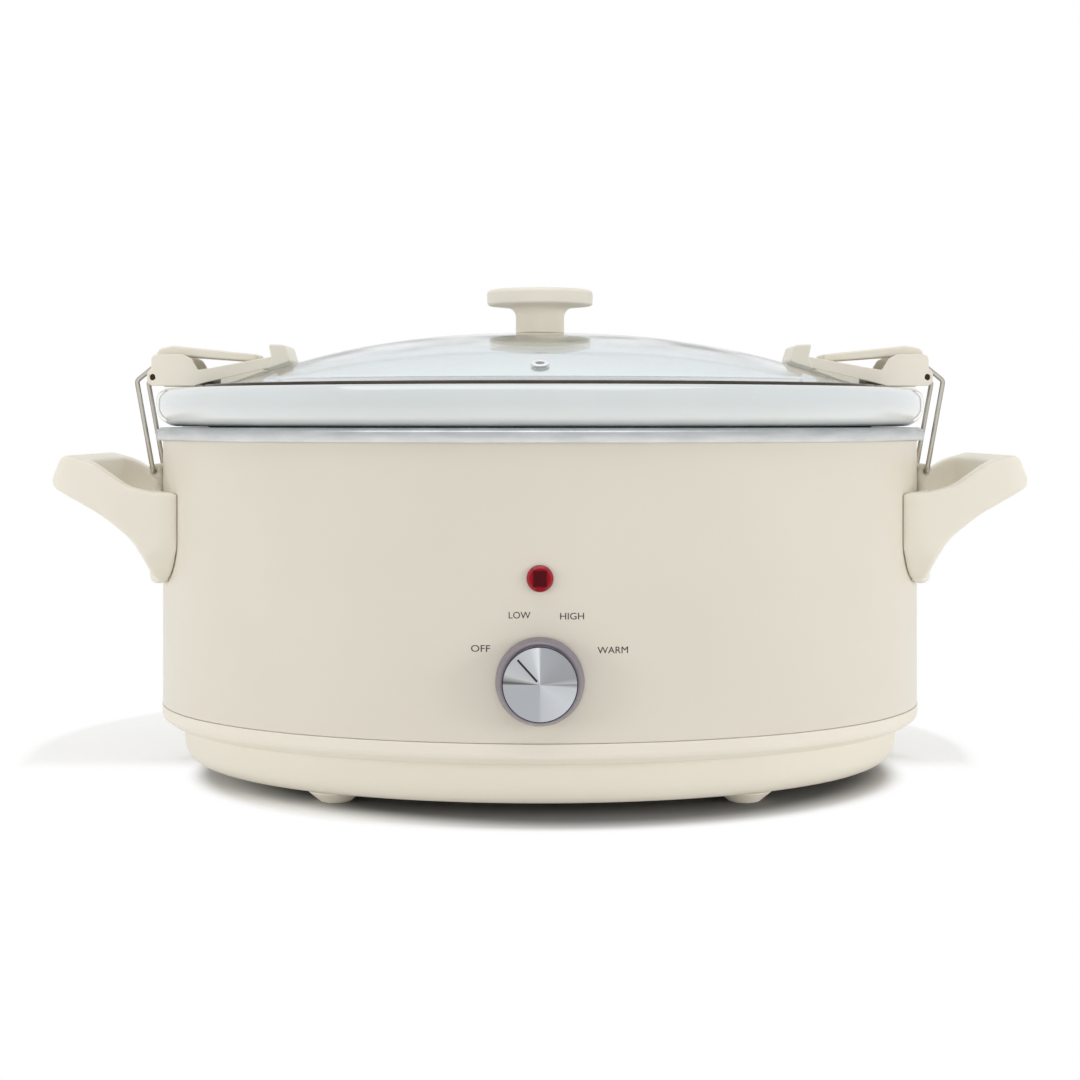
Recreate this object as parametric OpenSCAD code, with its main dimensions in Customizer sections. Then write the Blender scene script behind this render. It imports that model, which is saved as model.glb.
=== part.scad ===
// Oval slow cooker: painted housing, stoneware crock, glass lid, heat control and two wire-bail latches.
// Origin on the table below the middle of the oval. X runs along the oval, the front faces -Y, Z is up.

/* [Housing] */
// Outside length of the oval housing
housing_length = 352; // [330:1:380]
// Outside depth of the oval housing
housing_depth = 278; // [262:1:296]
// Height of the housing's wall, from the base's seam to the well's flange
housing_h = 126.3; // [115:0.1:140]
// Thickness of the housing's steel sheet
sheet_t = 0.8; // [0.6:0.1:1.2]

/* [Base and feet] */
// Height of the base pan, from its floor's underside to the seam
pan_h = 26.7; // [24:0.1:32]
// Wall thickness of the base pan
pan_wall = 2.5; // [2:0.1:3.5]
// Height of the upright flange under the seam
pan_flange_h = 7.6; // [6:0.1:10]
// How far the pan's lower part stands in from the flange
pan_inset = 11; // [8:0.5:14]
// Radius between the pan's wall and its floor
pan_corner_r = 9; // [6:0.5:9.5]
// Height of the feet
foot_h = 5.2; // [4.8:0.1:9]
// Radius of a foot where it meets the base
foot_top_r = 12.7; // [11:0.1:14]
// Radius of a foot on the table
foot_tip_r = 6.4; // [5.5:0.1:8]
// Distance between the feet along the oval
foot_pitch_x = 174; // [150:1:185]
// Distance between the feet across the oval
foot_pitch_y = 180; // [160:1:184]

/* [Heating well] */
// Space between the housing's wall and the well's wall, for the heating band and the switch
heater_space = 18.7; // [17.5:0.1:24]
// Thickness of the well's steel sheet
well_t = 0.8; // [0.6:0.1:1.2]
// Depth of the well, from its flange's top to its floor's underside
well_depth = 133; // [124:0.5:135]
// How far the well's turned-down rim stands out beyond the housing
band_over = 3.5; // [2.5:0.1:4.5]
// Height of the well's turned-down rim
band_h = 6.1; // [4:0.1:9]
// Height of the heating band
heater_h = 56; // [40:1:60]
// Height of the heating band above the well's floor
heater_lift = 24; // [14:1:28]
// Thickness of the heating band
heater_t = 1.8; // [1:0.1:2.5]

/* [Crock] */
// Gap between the well's wall and the crock's wall
crock_gap = 5.7; // [3:0.1:8]
// Wall thickness of the crock
crock_wall = 8; // [6:0.5:10]
// How far the crock's rim stands out beyond the housing
rim_over = 3; // [2:0.1:4]
// Height of the crock's rim
rim_h = 16.6; // [14:0.1:22]
// Gap between the crock's rim and the well's flange
rim_gap = 1.2; // [0.4:0.1:2]
// Width of the flat land on top of the crock's rim, outside the lid's ledge
rim_land = 20; // [17:0.5:23]
// Depth of the ledge that holds the lid
ledge_depth = 4.3; // [3.5:0.1:6]
// Width of the ledge that holds the lid
ledge_w = 10; // [8:0.5:12]

/* [Lid] */
// Gap round the lid's steel rim inside the ledge
lid_gap = 1.5; // [0.8:0.1:2.5]
// Thickness of the seal under the lid's rim
seal_h = 1.4; // [1:0.1:2]
// Thickness of the lid's glass
glass_t = 3.2; // [3:0.1:4.5]
// Sheet thickness of the lid's steel rim
lid_rim_t = 0.6; // [0.4:0.1:0.8]
// Width of the lid's steel rim over the glass
lid_rim_w = 6.5; // [5:0.1:8]
// Rise of the glass from its flat edge to the foot of its dome
shoulder_h = 2.6; // [2:0.1:4]
// Rise of the glass dome
dome_h = 22.8; // [19:0.1:26]
// Diameter of the lid knob
lid_knob_d = 50; // [44:1:56]
// Thickness of the lid knob's disc
lid_knob_t = 7.2; // [6:0.1:10]
// Diameter of the lid knob's stem
lid_stem_d = 23; // [18:0.5:26]
// Height of the lid knob above the glass
lid_knob_h = 21; // [19:0.5:28]
// Diameter of the washer that clamps the knob under the glass
knob_washer_d = 48; // [40:1:52]
// Distance of the steam vent from the front edge of the lid's glass
vent_in = 25.9; // [24:0.1:34]
// Radius of the steam vent's hole through its eyelet
vent_r = 1.9; // [1.5:0.1:2.2]

/* [Heat control] */
// Height of the control knob's axis above the seam
dial_rise = 25.4; // [24:0.1:32]
// Diameter of the control knob at the housing
dial_d = 36; // [35:0.2:40]
// Diameter of the control knob's skirt at its front edge
dial_skirt_d = 32.4; // [31:0.2:34]
// Diameter of the control knob at its face
dial_face_d = 29.4; // [26:0.2:30]
// How far the control knob stands out from the housing
dial_depth = 12; // [11:0.5:16]
// Diameter of the switch's shaft
shaft_d = 6; // [5:0.5:7]
// Angle of the pointer at OFF, anticlockwise from level as seen from the front
pointer_angle = 132; // [90:1:150]
// Height of the signal lamp above the control knob's axis
lamp_rise = 41.2; // [36:0.1:60]
// Diameter of the signal lamp's lens
lamp_d = 10.9; // [10:0.1:14]

/* [Handles] */
// How far the handles reach out from the housing
handle_reach = 45; // [42:0.5:52]
// Width of a handle along the housing
handle_w = 115; // [104:1:120]
// Height of a handle's upper edge on the housing above the seam
handle_rise = 97.3; // [90:0.1:102]
// Height of a handle's foot plate on the housing
plate_h = 41; // [36:0.5:46]
// Thickness of a handle's foot plate
plate_t = 6; // [5.5:0.1:8]
// Thickness of a handle's grip bar
grip_t = 17; // [14:0.5:19]
// Thickness of a handle's side rails
rail_t = 8.5; // [7:0.5:11]

/* [Latches] */
// Diameter of the latch wire
wire_d = 2.2; // [1.8:0.1:2.4]
// Distance between the middles of the wire's two legs
leg_pitch = 26.8; // [24:0.2:30]
// How far the wire's pivot stands out from the housing
pivot_out = 4; // [3.7:0.1:5]
// Height of the wire's pivot above the handle's upper edge
pivot_rise = 9.3; // [8:0.1:10.5]
// Outside width of a latch arm
arm_w = 34.6; // [32:0.2:42]
// Diameter of the latch pin
pin_d = 3; // [2.5:0.1:3.4]

/* [Hidden] */
$fn = 72;

// Facets round the oval pieces that have a curved profile
oval_steps = 64;

// Clearances that every fit shares
run_gap = 0.06;      // radial, between a pin and the bore it turns in
slip_gap = 0.4;      // between parts that slide past each other
seat_gap = 0.3;      // between a part and the seat it rests on
hole_gap = 0.25;     // radial, between a screw and its hole
cut = 1;             // how far a cutting shape runs past the face it cuts

// Half lengths of the nested ovals, along X; every oval has the housing's proportions
ratio = housing_depth / housing_length;
shell_a = housing_length / 2;
shell_in_a = shell_a - sheet_t;
well_a = shell_in_a - heater_space;
well_in_a = well_a - well_t;
crock_a = well_in_a - crock_gap;
crock_in_a = crock_a - crock_wall;
band_a = shell_a + band_over;
rim_a = shell_a + rim_over;
ledge_a = rim_a - rim_land;
lid_a = ledge_a - lid_gap;
glass_a = lid_a - lid_rim_t;
flat_a = lid_a - lid_rim_w;
dome_a = flat_a - 11;
heater_a = well_a + heater_t;
vent_y = glass_a * ratio - vent_in;

// Heights above the table
pan_floor = foot_h + pan_wall;
seam_z = foot_h + pan_h;
shell_top = seam_z + housing_h;
band_top = shell_top + well_t;
well_floor = band_top - well_depth;
rim_z = band_top + rim_gap;
rest_z = band_top + seat_gap;
rim_top = rim_z + rim_h;
ledge_z = rim_top - ledge_depth;
crock_z = well_floor + well_t + seat_gap;
seal_z = ledge_z + seat_gap;
lid_rim_z = seal_z + seal_h;
glass_z = lid_rim_z + lid_rim_t;
glass_edge_z = glass_z + glass_t;
lid_rim_top = glass_edge_z + lid_rim_t;
apex_z = glass_edge_z + shoulder_h + dome_h;
dial_z = seam_z + dial_rise;
lamp_z = dial_z + lamp_rise;
handle_z = seam_z + handle_rise;

// Screws, nut and washer
screw_r = 1.9;
screw_head_r = 3.6;
screw_head_h = 2.2;
stud_r = 3;
base_nut_r = 5.7;
base_nut_h = 2.6;
base_washer_r = 9;
base_washer_t = 0.8;

// Points of the circular arc that rounds corner b, between its neighbours a and c
function unit(v) = v / norm(v);
function turn(a) = a > 180 ? a - 360 : a < -180 ? a + 360 : a;
function bend(a, b, c, r, n) = is_undef(r) || r == 0 ? [b] :
    let (
        u = unit(a - b), v = unit(c - b),
        half = acos(u * v) / 2,
        mid = b + unit(u + v) * r / sin(half),
        p = b + u * r / tan(half) - mid,
        q = b + v * r / tan(half) - mid,
        start = atan2(p[1], p[0]),
        sweep = turn(atan2(q[1], q[0]) - start)
    )
    [for (i = [0:n]) mid + r * [cos(start + sweep * i / n), sin(start + sweep * i / n)]];
function flat(p) = [p[0], p[1]];
// Outline with rounded corners, from a list of [x, y, radius]
function outline(pts, n = 5) = [
    for (i = [0:len(pts) - 1])
        each bend(flat(pts[(i + len(pts) - 1) % len(pts)]), flat(pts[i]), flat(pts[(i + 1) % len(pts)]),
                  pts[i][2], n)
];
function moved(pts, by) = [for (p = pts) [p[0] + by[0], p[1] + by[1], p[2]]];

// Depth of an oval of half length a at distance x from its middle
function oval_y(a, x) = a * ratio * sqrt(1 - pow(x / a, 2));
function oval_x(a, y) = a * sqrt(1 - pow(y / (a * ratio), 2));

// Top of the lid at distance r from its middle, along X
function glass_top(r) =
    r >= flat_a ? glass_edge_z :
    r >= dome_a ? glass_edge_z + shoulder_h * pow((flat_a - r) / (flat_a - dome_a), 1.3) :
    glass_edge_z + shoulder_h + dome_h * (1 - pow(r / dome_a, 2.35));
function lid_top(r) = r >= flat_a - 1 ? lid_rim_top : max(glass_top(r), lid_rim_top - 0.3);

// Sweeps a profile of [r, z] round the oval, from the bottom outwards and up. The first and last points
// are joined to each other in a ring, and by flat floors in a solid.
module oval(profile, ring = false) {
    n = len(profile);
    last = ring ? n - 1 : n - 2;
    points = [
        for (p = profile, k = [0:oval_steps - 1])
            let (angle = 360 * k / oval_steps)
            [p[0] * cos(angle), p[0] * ratio * sin(angle), p[1]]
    ];
    sides = [
        for (i = [0:last], k = [0:oval_steps - 1])
            let (j = (i + 1) % n, m = (k + 1) % oval_steps)
            [i * oval_steps + k, j * oval_steps + k, j * oval_steps + m, i * oval_steps + m]
    ];
    floors = ring ? [] : [
        [for (k = [0:oval_steps - 1]) k],
        [for (k = [oval_steps - 1:-1:0]) (n - 1) * oval_steps + k]
    ];
    polyhedron(points, concat(sides, floors));
}
// Solid oval cylinder, and an upright oval wall
module oval_slug(a, z0, z1) translate([0, 0, z0]) linear_extrude(z1 - z0) scale([1, ratio]) circle(r = a);
module oval_wall(a0, a1, z0, z1) oval([[a0, z0], [a1, z0], [a1, z1], [a0, z1]], ring = true);
// Extrudes a side outline of [x, z] across Y
module slab(y0, y1) translate([0, y1, 0]) rotate([90, 0, 0]) linear_extrude(y1 - y0) children();
// Turns a profile of [r, distance] about an axis that points out of the front wall
module facing(y) translate([0, y, 0]) rotate([90, 0, 0]) rotate_extrude() children();
// Builds a right-hand piece on the left
module on_left() mirror([1, 0, 0]) children();
// Puts a piece on the side wall at y, with its Z axis along the wall's outward normal
module on_wall(y, z) translate([oval_x(shell_a, y), y, z])
    rotate([0, 90, atan2(y / pow(ratio, 2), oval_x(shell_a, y))]) children();
// Round wire through a list of points; the elbows are a little fatter than the wire
module wire(pts, r) for (i = [0:len(pts) - 2]) {
    d = pts[i + 1] - pts[i];
    translate(pts[i]) rotate([0, acos(d[2] / norm(d)), atan2(d[1], d[0])]) {
        cylinder(h = norm(d), r = r);
        if (i < len(pts) - 2) translate([0, 0, norm(d)]) sphere(r = r * 1.1);
    }
}

// ---- Housing and base ----

handle_screw_y = 24;
handle_screw_z = handle_z - plate_h + 15;
gland_z = seam_z + 13;
gland_neck_r = 5;
bushing_r = 4.5;
lamp_neck_r = lamp_d / 2 - 0.9;

module body_shell() color([0.87, 0.84, 0.78]) difference() {
    oval_wall(shell_in_a, shell_a, seam_z, shell_top);
    translate([0, 0, dial_z]) facing(-shell_a * ratio / 2) square([bushing_r + hole_gap, shell_a]);
    translate([0, 0, lamp_z]) facing(-shell_a * ratio / 2) square([lamp_neck_r + hole_gap, shell_a]);
    translate([0, 0, gland_z]) rotate([-90, 0, 0])
        cylinder(h = shell_a, r = gland_neck_r + hole_gap);
    for (side = [0, 1], y = [-1, 1]) mirror([side, 0, 0])
        on_wall(y * handle_screw_y, handle_screw_z)
            translate([0, 0, -4 * sheet_t]) cylinder(h = 8 * sheet_t, r = screw_r + hole_gap);
}

pan_a = shell_a + 0.2;
pan_low_a = pan_a - pan_inset;
pan_step_z = seam_z - pan_flange_h;
pan_low_z = foot_h + pan_corner_r + 1;
lip_a = shell_in_a - seat_gap;
lip_h = 6;
foot_places = [for (x = [-1, 1], y = [-1, 1]) [x * foot_pitch_x / 2, y * foot_pitch_y / 2]];
foot_screw_r = 1.6;
foot_boss_r = 4.5;
foot_boss_h = 9;

module base_pan() color([0.88, 0.86, 0.80]) difference() {
    union() {
        oval(outline([
            [pan_low_a - 20, foot_h],
            [pan_low_a, foot_h, pan_corner_r],
            [pan_low_a, pan_low_z, 0.8],
            [pan_a - pan_inset * 0.6, pan_low_z + 2.6, 3],
            [pan_a, pan_step_z, 2.5],
            [pan_a, seam_z, 0.5],
            [lip_a, seam_z],
            [lip_a, seam_z + lip_h, 0.6],
            [lip_a - pan_wall, seam_z + lip_h, 0.6],
            [lip_a - pan_wall, pan_step_z + 1.5, 2],
            [pan_low_a - pan_wall, pan_low_z + 3.5, 1],
            [pan_low_a - pan_wall, pan_floor, pan_corner_r - pan_wall],
            [pan_low_a - 20, pan_floor]
        ], 4));
        for (p = foot_places) translate([p[0], p[1], foot_h + pan_wall / 2])
            cylinder(h = foot_boss_h, r = foot_boss_r);
    }
    translate([0, 0, foot_h - cut]) cylinder(h = pan_wall + 2 * cut, r = stud_r + hole_gap);
    for (p = foot_places) translate([p[0], p[1], foot_h - cut])
        cylinder(h = foot_boss_h + cut, r = foot_screw_r);
}

foot_recess = screw_head_h + 0.8;

module feet() color([0.86, 0.84, 0.78]) for (p = foot_places) translate([p[0], p[1], 0]) difference() {
    cylinder(h = foot_h, r1 = foot_tip_r, r2 = foot_top_r);
    translate([0, 0, -cut]) cylinder(h = foot_recess + cut, r = screw_head_r + hole_gap);
    translate([0, 0, -cut]) cylinder(h = foot_h + 2 * cut, r = foot_screw_r + hole_gap);
}

// Pan-head screw that points up, with the underside of its head at the origin
module screw(length, r) {
    translate([0, 0, -screw_head_h]) cylinder(h = screw_head_h, r = screw_head_r);
    translate([0, 0, -screw_head_h / 2]) cylinder(h = length + screw_head_h / 2, r = r);
}
foot_screw_l = foot_h - foot_recess + foot_boss_h - 2;
module foot_screws() color([0.7, 0.7, 0.72]) for (p = foot_places)
    translate([p[0], p[1], foot_recess]) screw(foot_screw_l, foot_screw_r - 0.02);

module base_washer() color([0.7, 0.7, 0.72]) translate([0, 0, foot_h - base_washer_t]) difference() {
    cylinder(h = base_washer_t, r = base_washer_r);
    translate([0, 0, -cut]) cylinder(h = base_washer_t + 2 * cut, r = stud_r + hole_gap);
}

module base_nut() color([0.75, 0.75, 0.77])
    translate([0, 0, foot_h - base_washer_t - base_nut_h]) difference() {
        cylinder(h = base_nut_h, r = base_nut_r, $fn = 6);
        translate([0, 0, -cut]) cylinder(h = base_nut_h + 2 * cut, r = stud_r + 0.02);
    }

// ---- Heating ----

well_corner_r = 14;
band_roll_r = 2;

module heating_well() color([0.74, 0.75, 0.76]) {
    oval(outline([
        [well_a - 30, well_floor],
        [well_a, well_floor, well_corner_r],
        [well_a, shell_top, 0.8],
        [band_a - well_t, shell_top, band_roll_r - well_t],
        [band_a - well_t, band_top - band_h],
        [band_a, band_top - band_h],
        [band_a, band_top, band_roll_r],
        [well_in_a, band_top, 0.8 + well_t],
        [well_in_a, well_floor + well_t, well_corner_r - well_t],
        [well_a - 30, well_floor + well_t]
    ], 4));
    stud_end = foot_h - base_washer_t - base_nut_h - 0.4;
    translate([0, 0, stud_end]) cylinder(h = well_floor - stud_end + well_t / 2, r = stud_r);
}

heater_z = well_floor + heater_lift;
heater_gap = 28;      // open stretch of the band at the back
ear_t = 2;            // ears bent out of the band's ends, which the springs hook into
ear_h = 6;
ear_in_y = oval_y(well_a, heater_gap / 2 + ear_t) + 0.2;
ear_out_y = shell_in_a * ratio - 1.6;
spring_r = 2.2;
hook_r = 0.8;
spring_y = heater_a * ratio + spring_r + 1.2;
spring_places = [for (share = [0.25, 0.75]) heater_z + heater_h * share];

module heater_band() color([0.62, 0.58, 0.50]) {
    difference() {
        oval_wall(well_a, heater_a, heater_z, heater_z + heater_h);
        translate([-heater_gap / 2, 0, heater_z - cut]) cube([heater_gap, shell_a, heater_h + 2 * cut]);
    }
    for (side = [0, 1], z = spring_places) mirror([side, 0, 0]) difference() {
        translate([heater_gap / 2, ear_in_y, z - ear_h / 2]) cube([ear_t, ear_out_y - ear_in_y, ear_h]);
        translate([heater_gap / 2 - cut, spring_y, z]) rotate([0, 90, 0])
            cylinder(h = ear_t + 2 * cut, r = hook_r + hole_gap);
    }
}

module band_springs() color([0.75, 0.75, 0.77]) for (z = spring_places)
    translate([0, spring_y, z]) rotate([0, 90, 0]) {
        cylinder(h = heater_gap - 6, r = spring_r, center = true);
        cylinder(h = heater_gap + 4 * ear_t, r = hook_r, center = true);
    }

fuse_x = 46;
fuse_r = 2.2;
fuse_l = 14;
fuse_z = well_floor - fuse_r - seat_gap;
clip_t = 0.7;

module thermal_fuse() color([0.85, 0.80, 0.62]) translate([fuse_x, 0, fuse_z]) rotate([0, 90, 0]) {
    cylinder(h = fuse_l, r = fuse_r, center = true);
    cylinder(h = fuse_l + 16, r = 0.7, center = true);
}

module fuse_clip() color([0.72, 0.73, 0.75]) translate([fuse_x, 0, 0]) {
    clip_r = fuse_r + 0.2 + clip_t;
    translate([-3, 0, 0]) difference() {
        union() {
            translate([0, 0, fuse_z]) rotate([0, 90, 0]) cylinder(h = 6, r = clip_r);
            translate([0, -clip_r, fuse_z]) cube([6, 2 * clip_r, well_floor - fuse_z]);
            translate([0, -clip_r - 5, well_floor - clip_t]) cube([6, 2 * clip_r + 10, clip_t]);
        }
        translate([-cut, 0, fuse_z]) rotate([0, 90, 0]) cylinder(h = 6 + 2 * cut, r = clip_r - clip_t);
        translate([-cut, clip_t - clip_r, fuse_z]) cube([6 + 2 * cut, 2 * (clip_r - clip_t), well_floor]);
    }
}

// ---- Heat control ----

front_y = -shell_a * ratio;
switch_w = 26;
switch_depth = 10.5;
switch_y = -oval_y(shell_in_a, switch_w / 2) + seat_gap;
bushing_out = 3.6;
shaft_in = 5;
switch_nut_h = 2.4;
switch_nut_r = 7;
dial_gap = 0.7;
dial_wall = 2.2;
dial_hub_r = 6;
dial_wall_t = 1.8;
cap_t = 1;
ring_w = 0.3;         // width of the collar round the face
ring_t = 5;           // height of the collar in front of the skirt
ring_base_r = dial_skirt_d / 2 - 0.9;
cap_r = dial_face_d / 2 - ring_w - 0.05;
dial_face_y = front_y - dial_depth;
flat_off = 0.6;       // how far the shaft's flat stands in from its round side

module rotary_switch() color([0.20, 0.20, 0.21]) difference() {
    union() {
        translate([-switch_w / 2, switch_y, dial_z - switch_w / 2]) cube([switch_w, switch_depth, switch_w]);
        translate([0, 0, dial_z]) facing(switch_y + cut)
            square([bushing_r, cut + switch_y - front_y + bushing_out]);
        for (x = [-8, 8])
            translate([x - 2.4, switch_y + switch_depth - 3, dial_z - switch_w / 2 - 5]) cube([4.8, 0.8, 6]);
    }
    translate([0, 0, dial_z]) facing(switch_y + shaft_in) square([shaft_d / 2 + run_gap, shaft_in + 20]);
}

module switch_nut() color([0.75, 0.75, 0.77]) translate([0, front_y, dial_z]) rotate([90, 0, 0])
    difference() {
        cylinder(h = switch_nut_h, r = switch_nut_r, $fn = 6);
        translate([0, 0, -cut]) cylinder(h = switch_nut_h + 2 * cut, r = bushing_r + 0.02);
    }

// Round shaft with one flat, from the switch to the hub's end
module shaft_shape(y0, y1, gap) intersection() {
    translate([0, y0, dial_z]) rotate([90, 0, 0]) cylinder(h = y0 - y1, r = shaft_d / 2 + gap);
    translate([-shaft_d, y1 - cut, dial_z - shaft_d])
        cube([2 * shaft_d, y0 - y1 + 2 * cut, shaft_d + shaft_d / 2 - flat_off + gap]);
}

shaft_end_y = dial_face_y + cap_t + 2;
module switch_shaft() color([0.8, 0.8, 0.82]) {
    translate([0, switch_y + shaft_in - 0.3, dial_z]) rotate([90, 0, 0])
        cylinder(h = shaft_in + switch_y - front_y + bushing_out, r = shaft_d / 2);
    shaft_shape(front_y - bushing_out + 0.2, shaft_end_y, 0);
}

module knob_body() color([0.56, 0.54, 0.60]) difference() {
    union() {
        translate([0, 0, dial_z]) facing(front_y) polygon(outline([
            [0, dial_depth - ring_t - dial_wall_t],
            [0, dial_depth - cap_t],
            [cap_r + 0.02, dial_depth - cap_t],
            [cap_r + 0.02, dial_depth - ring_t],
            [dial_skirt_d / 2, dial_depth - ring_t, 0.8],
            [dial_d / 2, dial_gap + 1.5, 1.2],
            [dial_d / 2 - 0.3, dial_gap],
            [dial_d / 2 - dial_wall, dial_gap],
            [dial_skirt_d / 2 - dial_wall, dial_depth - ring_t - dial_wall_t, 1.2],
            [dial_hub_r, dial_depth - ring_t - dial_wall_t]
        ]));
        translate([0, 0, dial_z]) facing(front_y)
            translate([0, bushing_out + 0.6]) square([dial_hub_r, dial_depth - bushing_out - 0.6 - cap_t]);
    }
    shaft_shape(front_y, shaft_end_y - 0.2, 0.02);
}

module knob_ring() color([0.78, 0.79, 0.82]) translate([0, 0, dial_z]) facing(front_y) polygon(outline([
    [cap_r + 0.05, dial_depth - ring_t + 0.02],
    [ring_base_r, dial_depth - ring_t + 0.02],
    [dial_face_d / 2, dial_depth, 0.2],
    [cap_r + 0.05, dial_depth]
]));

module knob_cap() color([0.84, 0.85, 0.87]) difference() {
    translate([0, 0, dial_z]) facing(front_y)
        translate([0, dial_depth - cap_t]) square([cap_r, cap_t - 0.2]);
    translate([0, dial_face_y + 0.2, dial_z]) rotate([0, -pointer_angle, 0])
        translate([1.6, -0.4, -0.45]) cube([cap_r - 2.4, 0.8, 0.9]);
}

lamp_out = 2.6;
lamp_l = 11;
module lamp_lens() color([0.72, 0.05, 0.09]) translate([0, 0, lamp_z]) facing(front_y) polygon(outline([
    [0, -2.4],
    [lamp_neck_r, -2.4],
    [lamp_neck_r, 0],
    [lamp_d / 2, 0],
    [lamp_d / 2, lamp_out * 0.5, 1],
    [lamp_d / 2 - 1.6, lamp_out, 1.4],
    [0, lamp_out]
]));

module lamp_body() color([0.9, 0.89, 0.86]) translate([0, front_y + 2.4, lamp_z]) rotate([-90, 0, 0]) {
    cylinder(h = lamp_l - 3, r = lamp_neck_r - 0.4);
    for (x = [-1.8, 1.8]) translate([x, 0, lamp_l - 3 - cut]) cylinder(h = 2 + cut, r = 0.5);
}

module lamp_clip() color([0.75, 0.75, 0.77])
    translate([0, front_y + sheet_t + seat_gap, lamp_z]) rotate([-90, 0, 0]) difference() {
        cylinder(h = 0.6, r = lamp_neck_r + 3);
        translate([0, 0, -cut]) cylinder(h = 0.6 + 2 * cut, r = lamp_neck_r + 0.02);
    }

gland_out = dial_depth - 1;
gland_bore_r = 3.2;
module cord_gland() color([0.17, 0.17, 0.18]) translate([0, -front_y, gland_z]) rotate([-90, 0, 0])
    difference() {
        rotate_extrude() polygon(outline([
            [gland_bore_r, -5],
            [gland_neck_r + 1.5, -5, 0.5],
            [gland_neck_r + 1.5, -sheet_t - 1, 0.5],
            [gland_neck_r, -sheet_t - 1],
            [gland_neck_r, 0.1],
            [gland_neck_r + 3.4, 0.1],
            [gland_neck_r + 3.4, 3.1, 1],
            [gland_neck_r + 0.8, 4.6, 1],
            [gland_neck_r - 0.5, gland_out, 0.6],
            [gland_bore_r, gland_out]
        ]));
        for (z = [5.6 : 2.4 : gland_out - 2]) translate([0, 0, z]) difference() {
            cylinder(h = 1.2, r = gland_neck_r + 3);
            translate([0, 0, -cut]) cylinder(h = 1.2 + 2 * cut, r = gland_neck_r - 0.9);
        }
    }

// Leads: switch to fuse, switch to gland, and fuse to the heating band's back end
lead_r = 1.1;
lead_z = pan_floor + lead_r + 0.3;
lead_front_y = switch_y + switch_depth - 2.6;
lead_top_z = dial_z - switch_w / 2 - 5 - seat_gap;
fuse_lead = fuse_l / 2 + 8 + 0.3;
module wiring() color([0.85, 0.84, 0.80]) {
    wire([
        [8, lead_front_y, lead_top_z],
        [8, lead_front_y, seam_z - 4],
        [18, -96, lead_z],
        [18, -14, lead_z],
        [fuse_x - fuse_lead - 3, 0, fuse_z],
        [fuse_x - fuse_lead, 0, fuse_z]
    ], lead_r);
    wire([
        [-8, lead_front_y, lead_top_z],
        [-8, lead_front_y, seam_z - 4],
        [-18, -96, lead_z],
        [-18, 60, lead_z],
        [-3, 104, lead_z + 4],
        [0, well_a * ratio - 1.6, well_floor - 4],
        [0, well_a * ratio + 6, well_floor + 8],
        [0, -front_y - 5.4, gland_z]
    ], lead_r);
    wire([
        [fuse_x + fuse_lead, 0, fuse_z],
        [fuse_x + fuse_lead + 3, 0, fuse_z],
        [fuse_x + 20, 90, lead_z],
        [30, oval_y(well_a, 30) - 1.6, well_floor - 4],
        [30, oval_y(well_a, 30) + 5, well_floor + 8],
        [heater_gap / 2 + 8, oval_y(heater_a, heater_gap / 2 + 8) + lead_r + 0.3, heater_z + 6]
    ], lead_r);
}

// ---- Crock ----

crock_floor_r = 24;   // how far in from the wall the crock's floor is flat
rest_a = rim_a - 12;   // outer edge of the ring that the crock's rim stands on

module crock() color([0.90, 0.92, 0.92]) oval(outline([
    [crock_in_a - crock_floor_r, crock_z],
    [crock_a, crock_z, 14],
    [crock_a, rim_z - 5.7, 4],
    [crock_a + 4.5, rest_z, 3],
    [rest_a, rest_z],
    [rest_a + 1, rim_z],
    [rim_a, rim_z, 8.5],
    [rim_a, rim_top, 4.8],
    [ledge_a, rim_top, 0.8],
    [ledge_a - 0.6, ledge_z, 1],
    [ledge_a - ledge_w, ledge_z, 2.5],
    [crock_in_a, ledge_z - 12, 10],
    [crock_in_a, crock_z + crock_wall, 12],
    [crock_in_a - crock_floor_r, crock_z + crock_wall]
], 4));

// ---- Lid ----

stem_r = lid_stem_d / 2;
knob_screw_r = 2;
vent_fall = dome_h * 2.35 / dome_a * pow(vent_y / ratio / dome_a, 1.35) / ratio;
vent_tilt = atan(vent_fall);
vent_z = glass_top(vent_y / ratio) - glass_t / 2 / cos(vent_tilt);

module at_vent() translate([0, -vent_y, vent_z]) rotate([vent_tilt, 0, 0]) children();

dome_steps = 12;
dome_rings = concat(
    [for (i = [1:dome_steps]) dome_a * pow(i / dome_steps, 0.8)],
    [for (i = [1:4]) dome_a + (flat_a - dome_a) * i / 4],
    [glass_a]
);
module lid_glass() color([0.80, 0.87, 0.88, 0.4]) difference() {
    oval(concat(
        [for (r = dome_rings) [r, glass_top(r) - glass_t]],
        [for (i = [len(dome_rings) - 1:-1:0]) [dome_rings[i], glass_top(dome_rings[i])]]
    ));
    translate([0, 0, apex_z - glass_t - cut]) cylinder(h = glass_t + 2 * cut, r = knob_screw_r + 1);
    at_vent() cylinder(h = 4 * glass_t, r = vent_r + 0.9, center = true);
}

module lid_rim() color([0.78, 0.79, 0.80]) oval([
    [lid_a, lid_rim_z],
    [lid_a, lid_rim_top],
    [flat_a, lid_rim_top],
    [flat_a, glass_edge_z],
    [glass_a, glass_edge_z],
    [glass_a, glass_z],
    [flat_a + 1, glass_z],
    [flat_a + 1, lid_rim_z]
], ring = true);

module lid_seal() color([0.93, 0.93, 0.91]) oval([
    [lid_a - 1, seal_z],
    [lid_a - 0.6, lid_rim_z],
    [flat_a + 1.4, lid_rim_z],
    [flat_a + 1.8, seal_z]
], ring = true);

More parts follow.
